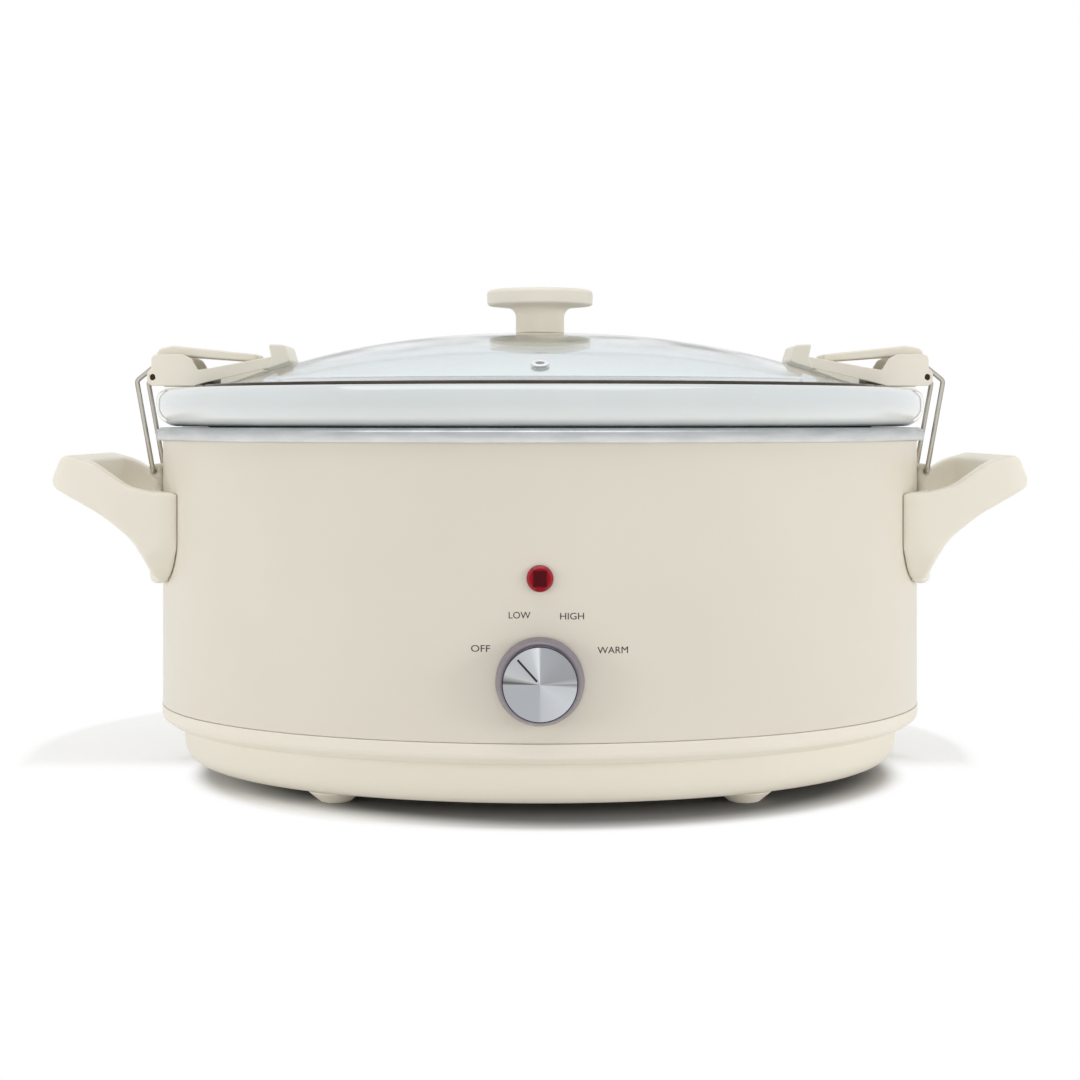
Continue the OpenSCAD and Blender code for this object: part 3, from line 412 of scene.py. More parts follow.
crock = oval([
    (0, crock_low.z, 0),
    (BOWL_A - 16 * MM, crock_low.z, 2 * MM),
    (BOWL_A - 17 * MM, crock_low.z + 0.8 * MM, 1 * MM),
    (BOWL_A, crock_low.z, 14 * MM),
    (BOWL_A, RIM_TOP - RIM_H - 5.7 * MM, 4 * MM),
    (BOWL_A + 4.5 * MM, REST_Z, 3 * MM),
    (REST_A, REST_Z, 0.3 * MM),
    (REST_A + 1 * MM, RIM_TOP - RIM_H, 0.3 * MM),
    (RIM_A, RIM_TOP - RIM_H, 9 * MM),
    (RIM_A, RIM_TOP, 5 * MM),
    (LEDGE_A + 0.6 * MM, RIM_TOP, 1.4 * MM),
    (LEDGE_A, LEDGE_Z, 1.2 * MM),
    (LEDGE_A - 10 * MM, LEDGE_Z, 3 * MM),
    (BOWL_A - CROCK_WALL, LEDGE_Z - 12 * MM, 14 * MM),
    (BOWL_A - CROCK_WALL, crock_low.z + CROCK_WALL, 24 * MM),
    (0, crock_low.z + CROCK_WALL, 0),
])
settle("glazed_crock", crock, glaze, "base", "crock_glaze", "crock")

# ---- Lid glass ----
# Tempered glass pressed to a shallow dome with a flat edge. The steel rim is rolled over the edge, and
# the knob, its washer and the steam vent's eyelet are fixed through holes.

glass_low, glass_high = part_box("lid_glass")
GLASS_T = 3.2 * MM
GLASS_A = glass_high.x
GLASS_TOP = glass_high.z
EDGE_Z = glass_low.z + GLASS_T
FLAT_A = GLASS_A - 5.9 * MM
DOME_A = FLAT_A - 11 * MM
SHOULDER = 2.6 * MM
SHOULDER_POWER = 1.3
DOME_POWER = 2.35                        # above 2, so the dome is flatter in the middle than a circle
DOME_RINGS = 28
SHOULDER_RINGS = 6


def dome(out):
    """Height of the glass's upper face at this distance from the middle, along X."""
    if out >= FLAT_A:
        return EDGE_Z
    if out >= DOME_A:
        return EDGE_Z + SHOULDER * ((FLAT_A - out) / (FLAT_A - DOME_A)) ** SHOULDER_POWER
    swell = GLASS_TOP - EDGE_Z - SHOULDER
    return EDGE_Z + SHOULDER + swell * (1 - (out / DOME_A) ** DOME_POWER)


GLASS_CLEAR = tint(246, 250, 251)
GLASS_EDGE_PAINTED_DARK = tint(208, 217, 221)

lid_glass = Finish("pressed glass", GLASS_CLEAR, 0.02, ior=1.32, transmission_weight=1.0)
# Where the dome is seen edge on, its colour is painted darker: a painted dark reflection.
edge_on = lid_glass.node("ShaderNodeLayerWeight", {"Blend": 0.5}, output="Facing")
lid_glass.surface(base_color=lid_glass.mix(edge_on ** 5, GLASS_CLEAR, GLASS_EDGE_PAINTED_DARK))
waves = lid_glass.noise(35 * MM, detail=1)
lid_glass.bump(waves, 0.12 * MM)
# The glass casts no shadow, and scattered light passes straight through it, as through a thin pane.
plain_ray = lid_glass.largest(lid_glass.node("ShaderNodeLightPath", output="Is Shadow Ray"),
                              lid_glass.node("ShaderNodeLightPath", output="Is Diffuse Ray"))
lid_glass.surface(alpha=1 - plain_ray)
outs = [DOME_A * (i / DOME_RINGS) ** 0.85 for i in range(DOME_RINGS + 1)]
outs += [DOME_A + (FLAT_A - DOME_A) * i / SHOULDER_RINGS for i in range(1, SHOULDER_RINGS + 1)]
outs.append(GLASS_A)
under = [(out, dome(out) - GLASS_T, 0) for out in outs]
over = [(out, dome(out), 0) for out in reversed(outs)]
settle("domed_glass", oval(under + over), lid_glass, "lid", "lid_glass_clear", "lid_glass")

# ---- Lid's rim and seal ----
# A channel of polished stainless strip rolled round the glass's edge, with a soft silicone seal
# under it that rests on the crock's ledge. The strip's dark tone is a painted dark reflection.

lid_rim_low, lid_rim_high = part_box("lid_rim")

# The strip's colour is painted dark: a painted dark reflection.
rim_steel_painted_dark = Finish("stainless, painted dark reflection", tint(74, 67, 62), 0.2, metallic=1.0)
smudge = rim_steel_painted_dark.noise(12 * MM, detail=3)
rim_steel_painted_dark.surface(base_color=rim_steel_painted_dark.mix(smudge, tint(62, 56, 52), tint(88, 80, 75)),
                   roughness=0.16 + 0.12 * smudge)

channel = oval([
    (lid_rim_high.x, lid_rim_low.z, 0.5 * MM),
    (lid_rim_high.x, lid_rim_high.z, 0.8 * MM),
    (FLAT_A, lid_rim_high.z, 0.2 * MM),
    (FLAT_A, EDGE_Z + 0.02 * MM, 0),
    (GLASS_A + 0.05 * MM, EDGE_Z + 0.02 * MM, 0),
    (GLASS_A + 0.05 * MM, glass_low.z - 0.02 * MM, 0),
    (FLAT_A + 1 * MM, glass_low.z - 0.02 * MM, 0),
    (FLAT_A + 1 * MM, lid_rim_low.z, 0.2 * MM),
], closed=True)
settle("rolled_rim", channel, rim_steel_painted_dark, "lid", "lid_rim_steel", "lid_rim")

silicone = Finish("white silicone", tint(232, 231, 226), 0.55, subsurface_weight=0.1)
dust = silicone.noise(4 * MM, detail=3)
silicone.surface(base_color=silicone.mix(dust, tint(224, 222, 216), tint(238, 237, 233)),
                 roughness=0.5 + 0.15 * dust)
seal_low, seal_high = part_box("lid_seal")
seal = oval([
    (seal_high.x - 0.4 * MM, seal_low.z, 0.4 * MM),
    (seal_high.x, seal_high.z, 0),
    (FLAT_A + 1.4 * MM, seal_high.z, 0),
    (FLAT_A + 1.8 * MM, seal_low.z, 0.4 * MM),
], closed=True)
settle("soft_seal", seal, silicone, "lid", "seal_silicone", "lid_seal")

# ---- Lid knob ----
# A turned shape moulded in cream plastic: a wide disc on a stem that flares at the glass. A dished
# washer under the glass and a screw up its middle clamp it.

knob_low, knob_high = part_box("lid_knob")
KNOB_R = knob_high.x
STEM_R = 11.4 * MM
DISC_LOW = knob_high.z - 8 * MM

knob = turned([
    (0, knob_low.z, 0),
    (STEM_R, knob_low.z, 0.3 * MM),
    (STEM_R, DISC_LOW - 1.4 * MM, 4.5 * MM),
    (KNOB_R - 0.2 * MM, DISC_LOW, 1.1 * MM),
    (KNOB_R, knob_high.z - 1 * MM, 1.8 * MM),
    (KNOB_R * 0.5, knob_high.z - 0.1 * MM, 20 * MM),
    (0, knob_high.z, 0),
])
settle("lid_grip", knob, moulded, "lid", "lid_knob_plastic", "lid_knob")

washer_low, washer_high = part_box("lid_knob_washer")
WASHER_R = washer_high.x
washer = turned([
    (0, washer_high.z, 0),
    (WASHER_R, washer_high.z, 0),
    (WASHER_R, washer_high.z - 0.9 * MM, 0.5 * MM),
    (WASHER_R * 0.62, washer_low.z + 0.7 * MM, 10 * MM),
    (WASHER_R * 0.45, washer_low.z, 2 * MM),
    (HEAD_R + 0.3 * MM, washer_low.z, 0.3 * MM),
    (HEAD_R + 0.3 * MM, washer_low.z + 1.6 * MM, 0),
    (0, washer_low.z + 1.6 * MM, 0),
])
settle("dished_washer", washer, moulded, "lid", "lid_knob_plastic", "lid_knob_washer")

lid_screw_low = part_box("lid_knob_screw")[0]
head = copies(screw_head(SCREW_HEAD_H), [(0, 0, lid_screw_low.z)])
settle("lid_screw_head", head, zinc, "lid", "fastener_steel", "lid_knob_screw")

# ---- Steam vent ----
# A steel eyelet rolled through a hole in the glass, in front of the knob and square to the dome.

vent_low, vent_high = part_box("vent_eyelet")
vent_at = (vent_low + vent_high) / 2
VENT_R = 1.9 * MM
FLANGE_R = VENT_R + 2.1 * MM
vent_out = -vent_at.y / RATIO
vent_tilt = math.atan((dome(vent_out) - dome(vent_out + MM)) / (MM * RATIO))
half = GLASS_T / 2

eyelet_steel = Finish("eyelet steel", tint(226, 228, 228), 0.5, metallic=0.6)
wear = eyelet_steel.noise(1.2 * MM, detail=2)
eyelet_steel.surface(base_color=eyelet_steel.mix(wear, tint(220, 222, 223), tint(234, 235, 235)),
                     roughness=0.44 + 0.16 * wear)
eyelet = turned([
    (VENT_R, -half - 0.6 * MM, 0.3 * MM),
    (FLANGE_R, -half - 0.5 * MM, 0.3 * MM),
    (FLANGE_R, -half, 0.1 * MM),
    (VENT_R + 0.7 * MM, -half, 0),
    (VENT_R + 0.7 * MM, half, 0),
    (FLANGE_R, half, 0.1 * MM),
    (FLANGE_R, half + 0.5 * MM, 0.3 * MM),
    (VENT_R, half + 0.7 * MM, 0.4 * MM),
], closed=True, steps=48)
bmesh.ops.rotate(eyelet, matrix=Matrix.Rotation(vent_tilt, 3, "X"), verts=eyelet.verts)
bmesh.ops.translate(eyelet, vec=vent_at, verts=eyelet.verts)
settle("vent_ring", eyelet, eyelet_steel, "lid", "eyelet_steel", "vent_eyelet")

# ---- Control knob ----
# A hollow skirt in grey lilac paint with a polished collar in front of it, painted dark as a painted dark
# reflection, and a spun aluminium face with a pointer pressed into it. It is pushed on the switch's shaft.

FRONT = shell_low.y
dial_low, dial_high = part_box("knob_body")
collar_low, collar_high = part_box("knob_ring")
cap_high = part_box("knob_cap")[1]
DIAL_Z = (dial_low.z + dial_high.z) / 2
DIAL_R = dial_high.x
COLLAR_R = collar_high.x
CAP_R = cap_high.x
DIAL_OUT = FRONT - collar_low.y
COLLAR_H = 5 * MM
SKIRT_R = COLLAR_R + 0.9 * MM
SKIRT_OUT = DIAL_OUT - COLLAR_H
FACE_R = CAP_R + 0.45 * MM
TIP_R = FACE_R + 0.3 * MM
POINTER = 132                            # degrees, anticlockwise from level


def facing_front(mesh, z):
    """Turns a piece made round Z to point out of the front wall, with its axis at this height."""
    bmesh.ops.rotate(mesh, matrix=Matrix.Rotation(math.pi / 2, 3, "X"), verts=mesh.verts)
    bmesh.ops.translate(mesh, vec=(0, FRONT, z), verts=mesh.verts)
    return mesh


pearl = Finish("grey lilac paint", tint(134, 126, 138), 0.3, metallic=0.45, coat_weight=0.6,
               coat_roughness=0.12)
flake = pearl.noise(0.25 * MM, detail=2)
pearl.surface(base_color=pearl.mix(flake, tint(124, 116, 129), tint(146, 138, 150)))
pearl.bump(flake, 0.003 * MM)

skirt = turned([
    (0, SKIRT_OUT - 1.8 * MM, 0),
    (0, DIAL_OUT - 1.05 * MM, 0),
    (CAP_R, DIAL_OUT - 1.05 * MM, 0),
    (CAP_R, SKIRT_OUT, 0.1 * MM),
    (SKIRT_R, SKIRT_OUT, 0.6 * MM),
    (DIAL_R, 2 * MM, 1.2 * MM),
    (DIAL_R - 0.2 * MM, 0.5 * MM, 0.3 * MM),
    (DIAL_R - 1.8 * MM, 0.5 * MM, 0.3 * MM),
    (SKIRT_R - 1.8 * MM, SKIRT_OUT - 1.8 * MM, 1.2 * MM),
], closed=True, steps=128)
settle("dial_skirt", facing_front(skirt, DIAL_Z), pearl, "dial", "knob_plastic", "knob_body")

# The collar's colour is painted dark: a painted dark reflection.
collar_chrome_painted_dark = Finish("chrome, painted dark reflection", tint(50, 47, 54), 0.16, metallic=1.0)
turning = collar_chrome_painted_dark.noise(0.4 * MM, detail=1)
collar_chrome_painted_dark.surface(base_color=collar_chrome_painted_dark.mix(turning, tint(44, 41, 48), tint(58, 55, 62)),
                     roughness=0.12 + 0.1 * turning)
collar = turned([
    (CAP_R + 0.05 * MM, SKIRT_OUT + 0.02 * MM, 0),
    (SKIRT_R - 0.8 * MM, SKIRT_OUT + 0.02 * MM, 0.2 * MM),
    (TIP_R, DIAL_OUT - 0.1 * MM, 0.2 * MM),
    (FACE_R + 0.04 * MM, DIAL_OUT, 0),
    (FACE_R + 0.04 * MM, DIAL_OUT - 1.1 * MM, 0),
    (CAP_R + 0.05 * MM, DIAL_OUT - 1.1 * MM, 0),
], closed=True, steps=128)
settle("dial_collar", facing_front(collar, DIAL_Z), collar_chrome_painted_dark, "dial", "knob_trim", "knob_ring")

spun = Finish("spun aluminium", tint(180, 184, 189), 0.42, metallic=0.9)
across = spun.along("X")
upward = spun.along("Z") - DIAL_Z
radius = spun.node("ShaderNodeVectorMath",
                   {0: spun.node("ShaderNodeCombineXYZ", {"X": across, "Y": upward})},
                   output="Value", operation="LENGTH")
groove = spun.node("ShaderNodeMath", {0: radius * (math.tau / (0.22 * MM))}, operation="SINE")
bearing = spun.node("ShaderNodeMath", {0: upward, 1: across}, operation="ARCTAN2") / math.tau + 0.5
# Painted sheen in sectors, as a spun face shows. Each stop is a share of a turn, which starts at the left.
PAINTED_SHEEN = {
    0.0: (176, 179, 184), 0.1: (174, 178, 183), 0.24: (176, 179, 185), 0.262: (192, 195, 199),
    0.4: (204, 208, 212), 0.485: (196, 200, 203), 0.5: (140, 142, 146), 0.508: (184, 186, 189),
    0.53: (156, 158, 162), 0.62: (160, 162, 167), 0.745: (170, 173, 178), 0.758: (228, 231, 234),
    0.8: (198, 201, 205), 0.88: (184, 188, 190), 0.955: (194, 198, 199), 0.982: (136, 137, 136),
    0.99: (74, 72, 70), 1.0: (160, 162, 165),
}
painted_sheen = spun.node("ShaderNodeValToRGB", {"Fac": bearing},
                  stops=[(place, tint(*colour)) for place, colour in PAINTED_SHEEN.items()])
spun.surface(base_color=painted_sheen, roughness=0.38 + 0.05 * groove)
spun.bump(groove, 0.003 * MM)
face = turned([
    (0, DIAL_OUT - 1 * MM, 0),
    (FACE_R, DIAL_OUT - 1 * MM, 0),
    (FACE_R, DIAL_OUT - 0.05 * MM, 0.15 * MM),
    (FACE_R - 0.5 * MM, DIAL_OUT - 0.25 * MM, 0),
    (0, DIAL_OUT - 0.25 * MM, 0),
], closed=True, steps=128)
settle("dial_face", facing_front(face, DIAL_Z), spun, "dial", "knob_cap_spun", "knob_cap")

ink = Finish("dark ink", tint(30, 28, 27), 0.6)
speckle = ink.noise(0.5 * MM, detail=2)
ink.surface(roughness=0.5 + 0.2 * speckle)
POINTER_IN = 1.7 * MM
POINTER_END = FACE_R - 1.5 * MM
pointer = bmesh.new()
bmesh.ops.create_cube(pointer, size=1,
                      matrix=Matrix.Diagonal((POINTER_END - POINTER_IN, 0.85 * MM, 0.1 * MM, 1)))
bmesh.ops.translate(pointer, vec=((POINTER_IN + POINTER_END) / 2, 0, DIAL_OUT - 0.24 * MM),
                    verts=pointer.verts)
bmesh.ops.rotate(pointer, matrix=Matrix.Rotation(math.radians(POINTER), 3, "Z"), verts=pointer.verts)
settle("dial_pointer", facing_front(pointer, DIAL_Z), ink, "dial", "knob_cap_spun")

# ---- Words round the knob ----
# The four settings, screen printed in dark ink on the housing's enamel. Each word follows the curve of
# the wall, and stands as high off it as the ink is thick.

CAP_H = 2.8 * MM
CAP_SHARE = 0.72                         # height of a capital as a share of the letters' size
INK_T = 0.04 * MM
# How far right of the knob's axis and above it each word's middle lies, and its width, in mm
WORDS = {
    "OFF": (-23.9, 12.8, 7.7),
    "LOW": (-8.2, 26.3, 8.75),
    "HIGH": (12.9, 25.9, 9.6),
    "WARM": (29.3, 12.1, 12.3),
}


def wall_y(x):
    """Front face of the housing wall at this distance from its middle."""
    return FRONT * math.sqrt(1 - (x / HALF_LENGTH) ** 2)


for word, (right, up, width) in WORDS.items():
    letters = bpy.data.curves.new("letters", "FONT")
    letters.body = word
    letters.size = CAP_H / CAP_SHARE
    letters.align_x = "CENTER"
    letters.align_y = "CENTER"
    letters.extrude = INK_T
    letters.resolution_u = 4
    template = bpy.data.objects.new("letters", letters)
    printed = bmesh.new()
    printed.from_mesh(template.to_mesh())
    bpy.data.objects.remove(template)
    left = min(vert.co.x for vert in printed.verts)
    right_end = max(vert.co.x for vert in printed.verts)
    for vert in printed.verts:
        x = (vert.co.x - (left + right_end) / 2) * width * MM / (right_end - left) + right * MM
        vert.co = Vector((x, wall_y(x) - vert.co.z, vert.co.y + DIAL_Z + up * MM))
    bmesh.ops.remove_doubles(printed, verts=printed.verts, dist=0.001 * MM)
    settle("word_" + word.lower(), printed, ink, "base", "switch_plastic")

# ---- Signal lamp ----
# A clear red cap that snaps into the wall above the knob. A darker square core is painted shade where the
# lamp holder sits behind it, and the rounded edge has the most gloss and a paler painted reflection.

lamp_low, lamp_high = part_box("lamp_lens")
LAMP_Z = (lamp_low.z + lamp_high.z) / 2
LAMP_R = lamp_high.x
LAMP_OUT = FRONT - lamp_low.y
CORE_X = 2.4 * MM                        # half width of the core, and half its height
CORE_Z = 2.8 * MM

red_lens = Finish("clear red", tint(200, 2, 28), 0.15, specular_ior_level=0.08, coat_weight=0.08,
                  coat_roughness=0.04)
across = red_lens.along("X")
upward = red_lens.along("Z") - LAMP_Z
# Painted shade darkens the square core, where the lamp holder sits behind the lens.
core = (red_lens.ramp(abs(across), CORE_X + 0.9 * MM, CORE_X)
        * red_lens.ramp(abs(upward), CORE_Z + 1.1 * MM, CORE_Z))
from_axis = (across * across + upward * upward) ** 0.5
# A painted reflection pales the rounded edge, where the coat is also thicker.
edge = red_lens.ramp(from_axis, LAMP_R - 1.5 * MM, LAMP_R - 0.7 * MM)
fringe = red_lens.noise(3 * MM, detail=1)
clear_red = red_lens.mix(fringe, tint(140, 4, 16), tint(182, 10, 30))
red_lens.surface(base_color=red_lens.mix(core, red_lens.mix(edge, clear_red, tint(152, 30, 46)),
                                         tint(78, 4, 12)), coat_weight=0.06 + 0.5 * edge)
lens = turned([
    (0, -2 * MM, 0),
    (LAMP_R - 0.9 * MM, -2 * MM, 0),
    (LAMP_R - 0.9 * MM, 0, 0),
    (LAMP_R, 0, 0.1 * MM),
    (LAMP_R, LAMP_OUT * 0.45, 0.9 * MM),
    (LAMP_R - 1.5 * MM, LAMP_OUT * 0.96, 1 * MM),
    (LAMP_R - 2.6 * MM, LAMP_OUT * 0.9, 0.6 * MM),
    (0, LAMP_OUT, 0),
], steps=96)
settle("lamp_cap", facing_front(lens, LAMP_Z), red_lens, "base", "lamp_lens_red", "lamp_lens")

# ---- Cord gland ----
# A black rubber strain relief in the back wall, with slots cut round its tapered tail. Its bore is
# where the power cord comes out.

gland_low, gland_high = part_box("cord_gland")
GLAND_Z = (gland_low.z + gland_high.z) / 2
GLAND_OUT = gland_high.y + FRONT
GLAND_BORE = 3.2 * MM
SLOT_STEP = 2.4 * MM
SLOT_W = 1.2 * MM
SLOT_R = 4.2 * MM
TAIL_START = 5.6 * MM
TAIL_END = GLAND_OUT - 2 * MM

black_rubber = Finish("black rubber", tint(40, 40, 42), 0.62)
bloom = black_rubber.noise(5 * MM, detail=4)
black_rubber.surface(base_color=black_rubber.mix(bloom, tint(32, 32, 34), tint(52, 52, 54)),
                     roughness=0.55 + 0.2 * bloom)
tail = []
for i in range(int((TAIL_END - TAIL_START) / SLOT_STEP) + 1):
    start = TAIL_START + i * SLOT_STEP
    skin = (5.8 - 0.3 * i) * MM
    tail += [(skin, start, 0.2 * MM), (SLOT_R, start, 0), (SLOT_R, start + SLOT_W, 0),
             (skin - 0.1 * MM, start + SLOT_W, 0.2 * MM)]
gland = turned([
    (GLAND_BORE, -3 * MM, 0),
    (6.3 * MM, -3 * MM, 0),
    (6.3 * MM, 0.1 * MM, 0),
    (8.4 * MM, 0.1 * MM, 0.2 * MM),
    (8.4 * MM, 3.1 * MM, 1.2 * MM),
    (5.9 * MM, 4.8 * MM, 1 * MM),
    *tail,
    (4.6 * MM, GLAND_OUT, 0.8 * MM),
    (GLAND_BORE, GLAND_OUT, 0.3 * MM),
], closed=True, steps=64)
bmesh.ops.rotate(gland, matrix=Matrix.Rotation(-math.pi / 2, 3, "X"), verts=gland.verts)
bmesh.ops.translate(gland, vec=(0, -FRONT, GLAND_Z), verts=gland.verts)
settle("rubber_gland", gland, black_rubber, "base", "gland_rubber", "cord_gland")

# ---- Handles ----
# Cream mouldings screwed to the housing's ends from inside. Two rails sweep out from a foot plate to a
# grip bar, and every edge is well rounded. A small knuckle carries the latch wire's hooks.

VOXEL = 0.8 * MM
SOFTEN = 14                              # smoothing passes, which round an edge to about 3 voxels


def rounded_copy(node):
    """Copy of a solid with all its edges rounded off."""
    solid = bmesh.new()
    solid.from_mesh(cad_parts[node].data)
    bmesh.ops.remove_doubles(solid, verts=solid.verts, dist=0.005 * MM)
    data = bpy.data.meshes.new("blank")
    solid.to_mesh(data)
    solid.free()
    blank = bpy.data.objects.new("blank", data)
    bpy.context.collection.objects.link(blank)
    remesh = blank.modifiers.new("remesh", "REMESH")
    remesh.mode = "VOXEL"
    remesh.voxel_size = VOXEL
    result = blank.evaluated_get(bpy.context.evaluated_depsgraph_get()).to_mesh()
    mesh = bmesh.new()
    mesh.from_mesh(result)
    bpy.data.objects.remove(blank)
    for _ in range(SOFTEN):
        bmesh.ops.smooth_vert(mesh, verts=mesh.verts, factor=0.5, use_axis_x=True, use_axis_y=True,
                              use_axis_z=True)
    return mesh


for side in ("left", "right"):
    node = "handle_" + side
    settle("side_" + node, rounded_copy(node), moulded, "base", "handle_plastic", node, crease=180)

# ---- Latch wires ----
# Stainless wire bent to a bail. Its ends hook into the handle's knuckle, both legs lean out past the
# crock's rim and bend back in, and the bar between them runs through the latch lever.

wire_low, wire_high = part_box("bail_right")
lever_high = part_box("latch_lever_right")[1]
pin_low, pin_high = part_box("latch_pin_right")
pin_at = (pin_low + pin_high) / 2
WIRE_R = 1.1 * MM
LEG_Y = wire_high.y - WIRE_R
PIVOT = Vector((HALF_LENGTH + 4 * MM, 0, wire_low.z + WIRE_R))
BAR = Vector((pin_at.x - 4.1 * MM, 0, pin_at.z + 8.3 * MM))
ELBOW = Vector((pin_at.x + 8 * MM, 0, pin_at.z - 1.6 * MM))
BEND_R = 2.4 * MM

drawn_wire = Finish("drawn wire", tint(176, 169, 158), 0.3, metallic=1.0)
scratch = drawn_wire.noise(0.5 * MM, detail=3, stretch=(1, 1, 0.08))
# Painted shade darkens the wire where it turns away from view, so its middle reads as a painted highlight.
painted_edge_shade = drawn_wire.node("ShaderNodeLayerWeight", {"Blend": 0.5}, output="Facing")
bright = drawn_wire.mix(scratch, tint(186, 180, 170), tint(216, 211, 203))
drawn_wire.surface(base_color=drawn_wire.mix(painted_edge_shade, bright, tint(96, 86, 74)),
                   roughness=0.24 + 0.16 * scratch)


def bent_wire(points, radius, bend):
    """Mesh of a round wire: a circle pushed along each straight and spun round each bend."""
    mesh = bmesh.new()
    heading = (points[1] - points[0]).normalized()
    place = Matrix.Translation(points[0]) @ heading.to_track_quat("Z", "Y").to_matrix().to_4x4()
    bmesh.ops.create_circle(mesh, cap_ends=True, segments=20, radius=radius, matrix=place)
    end = mesh.faces[:]
    at = points[0]
    for here, ahead in zip(points[1:], points[2:] + [None]):
        heading = (here - at).normalized()
        turn = ahead and (ahead - here).normalized()
        angle = heading.angle(turn) if turn else 0
        straight = here - heading * bend * math.tan(angle / 2)
        end = push(mesh, end, straight - at)
        at = straight
        if angle:
            axis = heading.cross(turn).normalized()
            centre = at + axis.cross(heading) * bend
            end = swing(mesh, end, centre, axis, angle)
            at = centre + Matrix.Rotation(angle, 3, axis) @ (at - centre)
    return mesh


def push(mesh, end, by):
    """Extrudes the wire's end face straight on, and gives the new end."""
    grown = bmesh.ops.extrude_discrete_faces(mesh, faces=end)["faces"]
    bmesh.ops.translate(mesh, vec=by, verts=grown[0].verts[:])
    return grown


def swing(mesh, end, centre, axis, angle, steps=8):
    """Extrudes the wire's end face round a bend, and gives the new end."""
    for _ in range(steps):
        end = bmesh.ops.extrude_discrete_faces(mesh, faces=end)["faces"]
        bmesh.ops.rotate(mesh, cent=centre, matrix=Matrix.Rotation(angle / steps, 3, axis),
                         verts=end[0].verts[:])
    return end


def mirrored(mesh):
    """Copy of a mesh on the other side of the middle."""
    twin = mesh.copy()
    bmesh.ops.scale(twin, vec=(-1, 1, 1), verts=twin.verts)
    bmesh.ops.reverse_faces(twin, faces=twin.faces)
    return twin


def settle_pair(name, mesh, finish, body, slot, *nodes, **how):
    """Settles a right-hand piece and its mirror image on the left."""
    for side, part in (("left", mirrored(mesh)), ("right", mesh)):
        settle(name + "_" + side, part, finish, body + "_" + side, slot,
               *(node + "_" + side for node in nodes), **how)


def at_y(point, y):
    return Vector((point.x, y, point.z))


HOOK = 6 * MM
bail = bent_wire([
    at_y(PIVOT, HOOK - LEG_Y),
    at_y(PIVOT, -LEG_Y),
    at_y(ELBOW, -LEG_Y),
    at_y(BAR, -LEG_Y),
    at_y(BAR, LEG_Y),
    at_y(ELBOW, LEG_Y),
    at_y(PIVOT, LEG_Y),
    at_y(PIVOT, LEG_Y - HOOK),
], WIRE_R, BEND_R)
settle_pair("latch_wire", bail, drawn_wire, "bail", "latch_wire", "bail")

# ---- Latch levers ----
# A flat cream paddle that lies over the lid. Its root turns on the latch pin, and the wire's bar runs
# through it just above, so that pulling the paddle up and over lets the wire go slack.

LEVER_W = lever_high.y


def plate(corners, y0, y1, soften, at, hole=None):
    """Mesh of an outline of (x, z, corner radius) cut from a slab between y0 and y1, with soft edges.

    A hole of the given radius goes through it at x = 0, z = 0.
    """
    mesh = bmesh.new()
    draw_profile(mesh, [(x * MM, z * MM, r * MM) for x, z, r in corners], closed=True)
    bmesh.ops.contextual_create(mesh, geom=mesh.verts[:] + mesh.edges[:])
    if hole:
        pierce(mesh, hole)
    grown = bmesh.ops.extrude_face_region(mesh, geom=mesh.faces[:])["geom"]
    bmesh.ops.translate(mesh, vec=(0, y1 - y0, 0),
                        verts=[v for v in grown if isinstance(v, bmesh.types.BMVert)])
    bmesh.ops.recalc_face_normals(mesh, faces=mesh.faces)
    rims = [e for e in mesh.edges if e.calc_face_angle() > math.radians(50)]
    bmesh.ops.bevel(mesh, geom=rims, offset=soften, offset_type="OFFSET", segments=3, profile=0.5,
                    affect="EDGES", material=-1, clamp_overlap=True)
    bmesh.ops.translate(mesh, vec=at + Vector((0, y0, 0)), verts=mesh.verts)
    return mesh


def pierce(mesh, radius):
    """Opens a round hole at the middle of a flat outline, by widening a point there."""
    bmesh.ops.bisect_plane(mesh, geom=mesh.verts[:] + mesh.edges[:] + mesh.faces[:],
                           plane_co=(-8 * MM, 0, 0), plane_no=(1, 0, 0))
    near = max(mesh.faces, key=lambda face: face.calc_center_median().x)
    point = bmesh.ops.poke(mesh, faces=[near])["verts"][0]
    point.co = (0, 0, 0)
    bmesh.ops.bevel(mesh, geom=[point], offset=radius, offset_type="OFFSET", segments=1, profile=0.5,
                    affect="VERTICES", material=-1)
    hub = min(mesh.faces, key=lambda face: face.calc_center_median().length)
    bmesh.ops.delete(mesh, geom=[hub], context="FACES")


def joined(*meshes):
    """One mesh out of several."""
    whole = bmesh.new()
    for mesh in meshes:
        data = bpy.data.meshes.new("share")
        mesh.to_mesh(data)
        mesh.free()
        whole.from_mesh(data)
        bpy.data.meshes.remove(data)
    return whole


lever = plate([
    (-47.6, 7.4, 1.4),
    (-47.6, 10.8, 1.2),
    (-8.6, 14.9, 3),
    (-1.6, 13.5, 3.5),
    (0.4, 8, 3),
    (2.5, 0.4, 1.6),
    (0, -2.4, 1.6),
    (-2.5, -0.6, 1.4),
    (-7.4, 5.6, 2),
    (-11, 10, 2),
], -LEVER_W, LEVER_W, 0.9 * MM, pin_at)
settle_pair("latch_paddle", lever, moulded, "lever", "latch_plastic", "latch_lever")

# ---- Latch arms and pads ----
# Each arm is a moulded channel: two cheeks with an ear for the pin, a floor between them, and a solid
# block at its end. A soft pad under the floor presses on the glass.

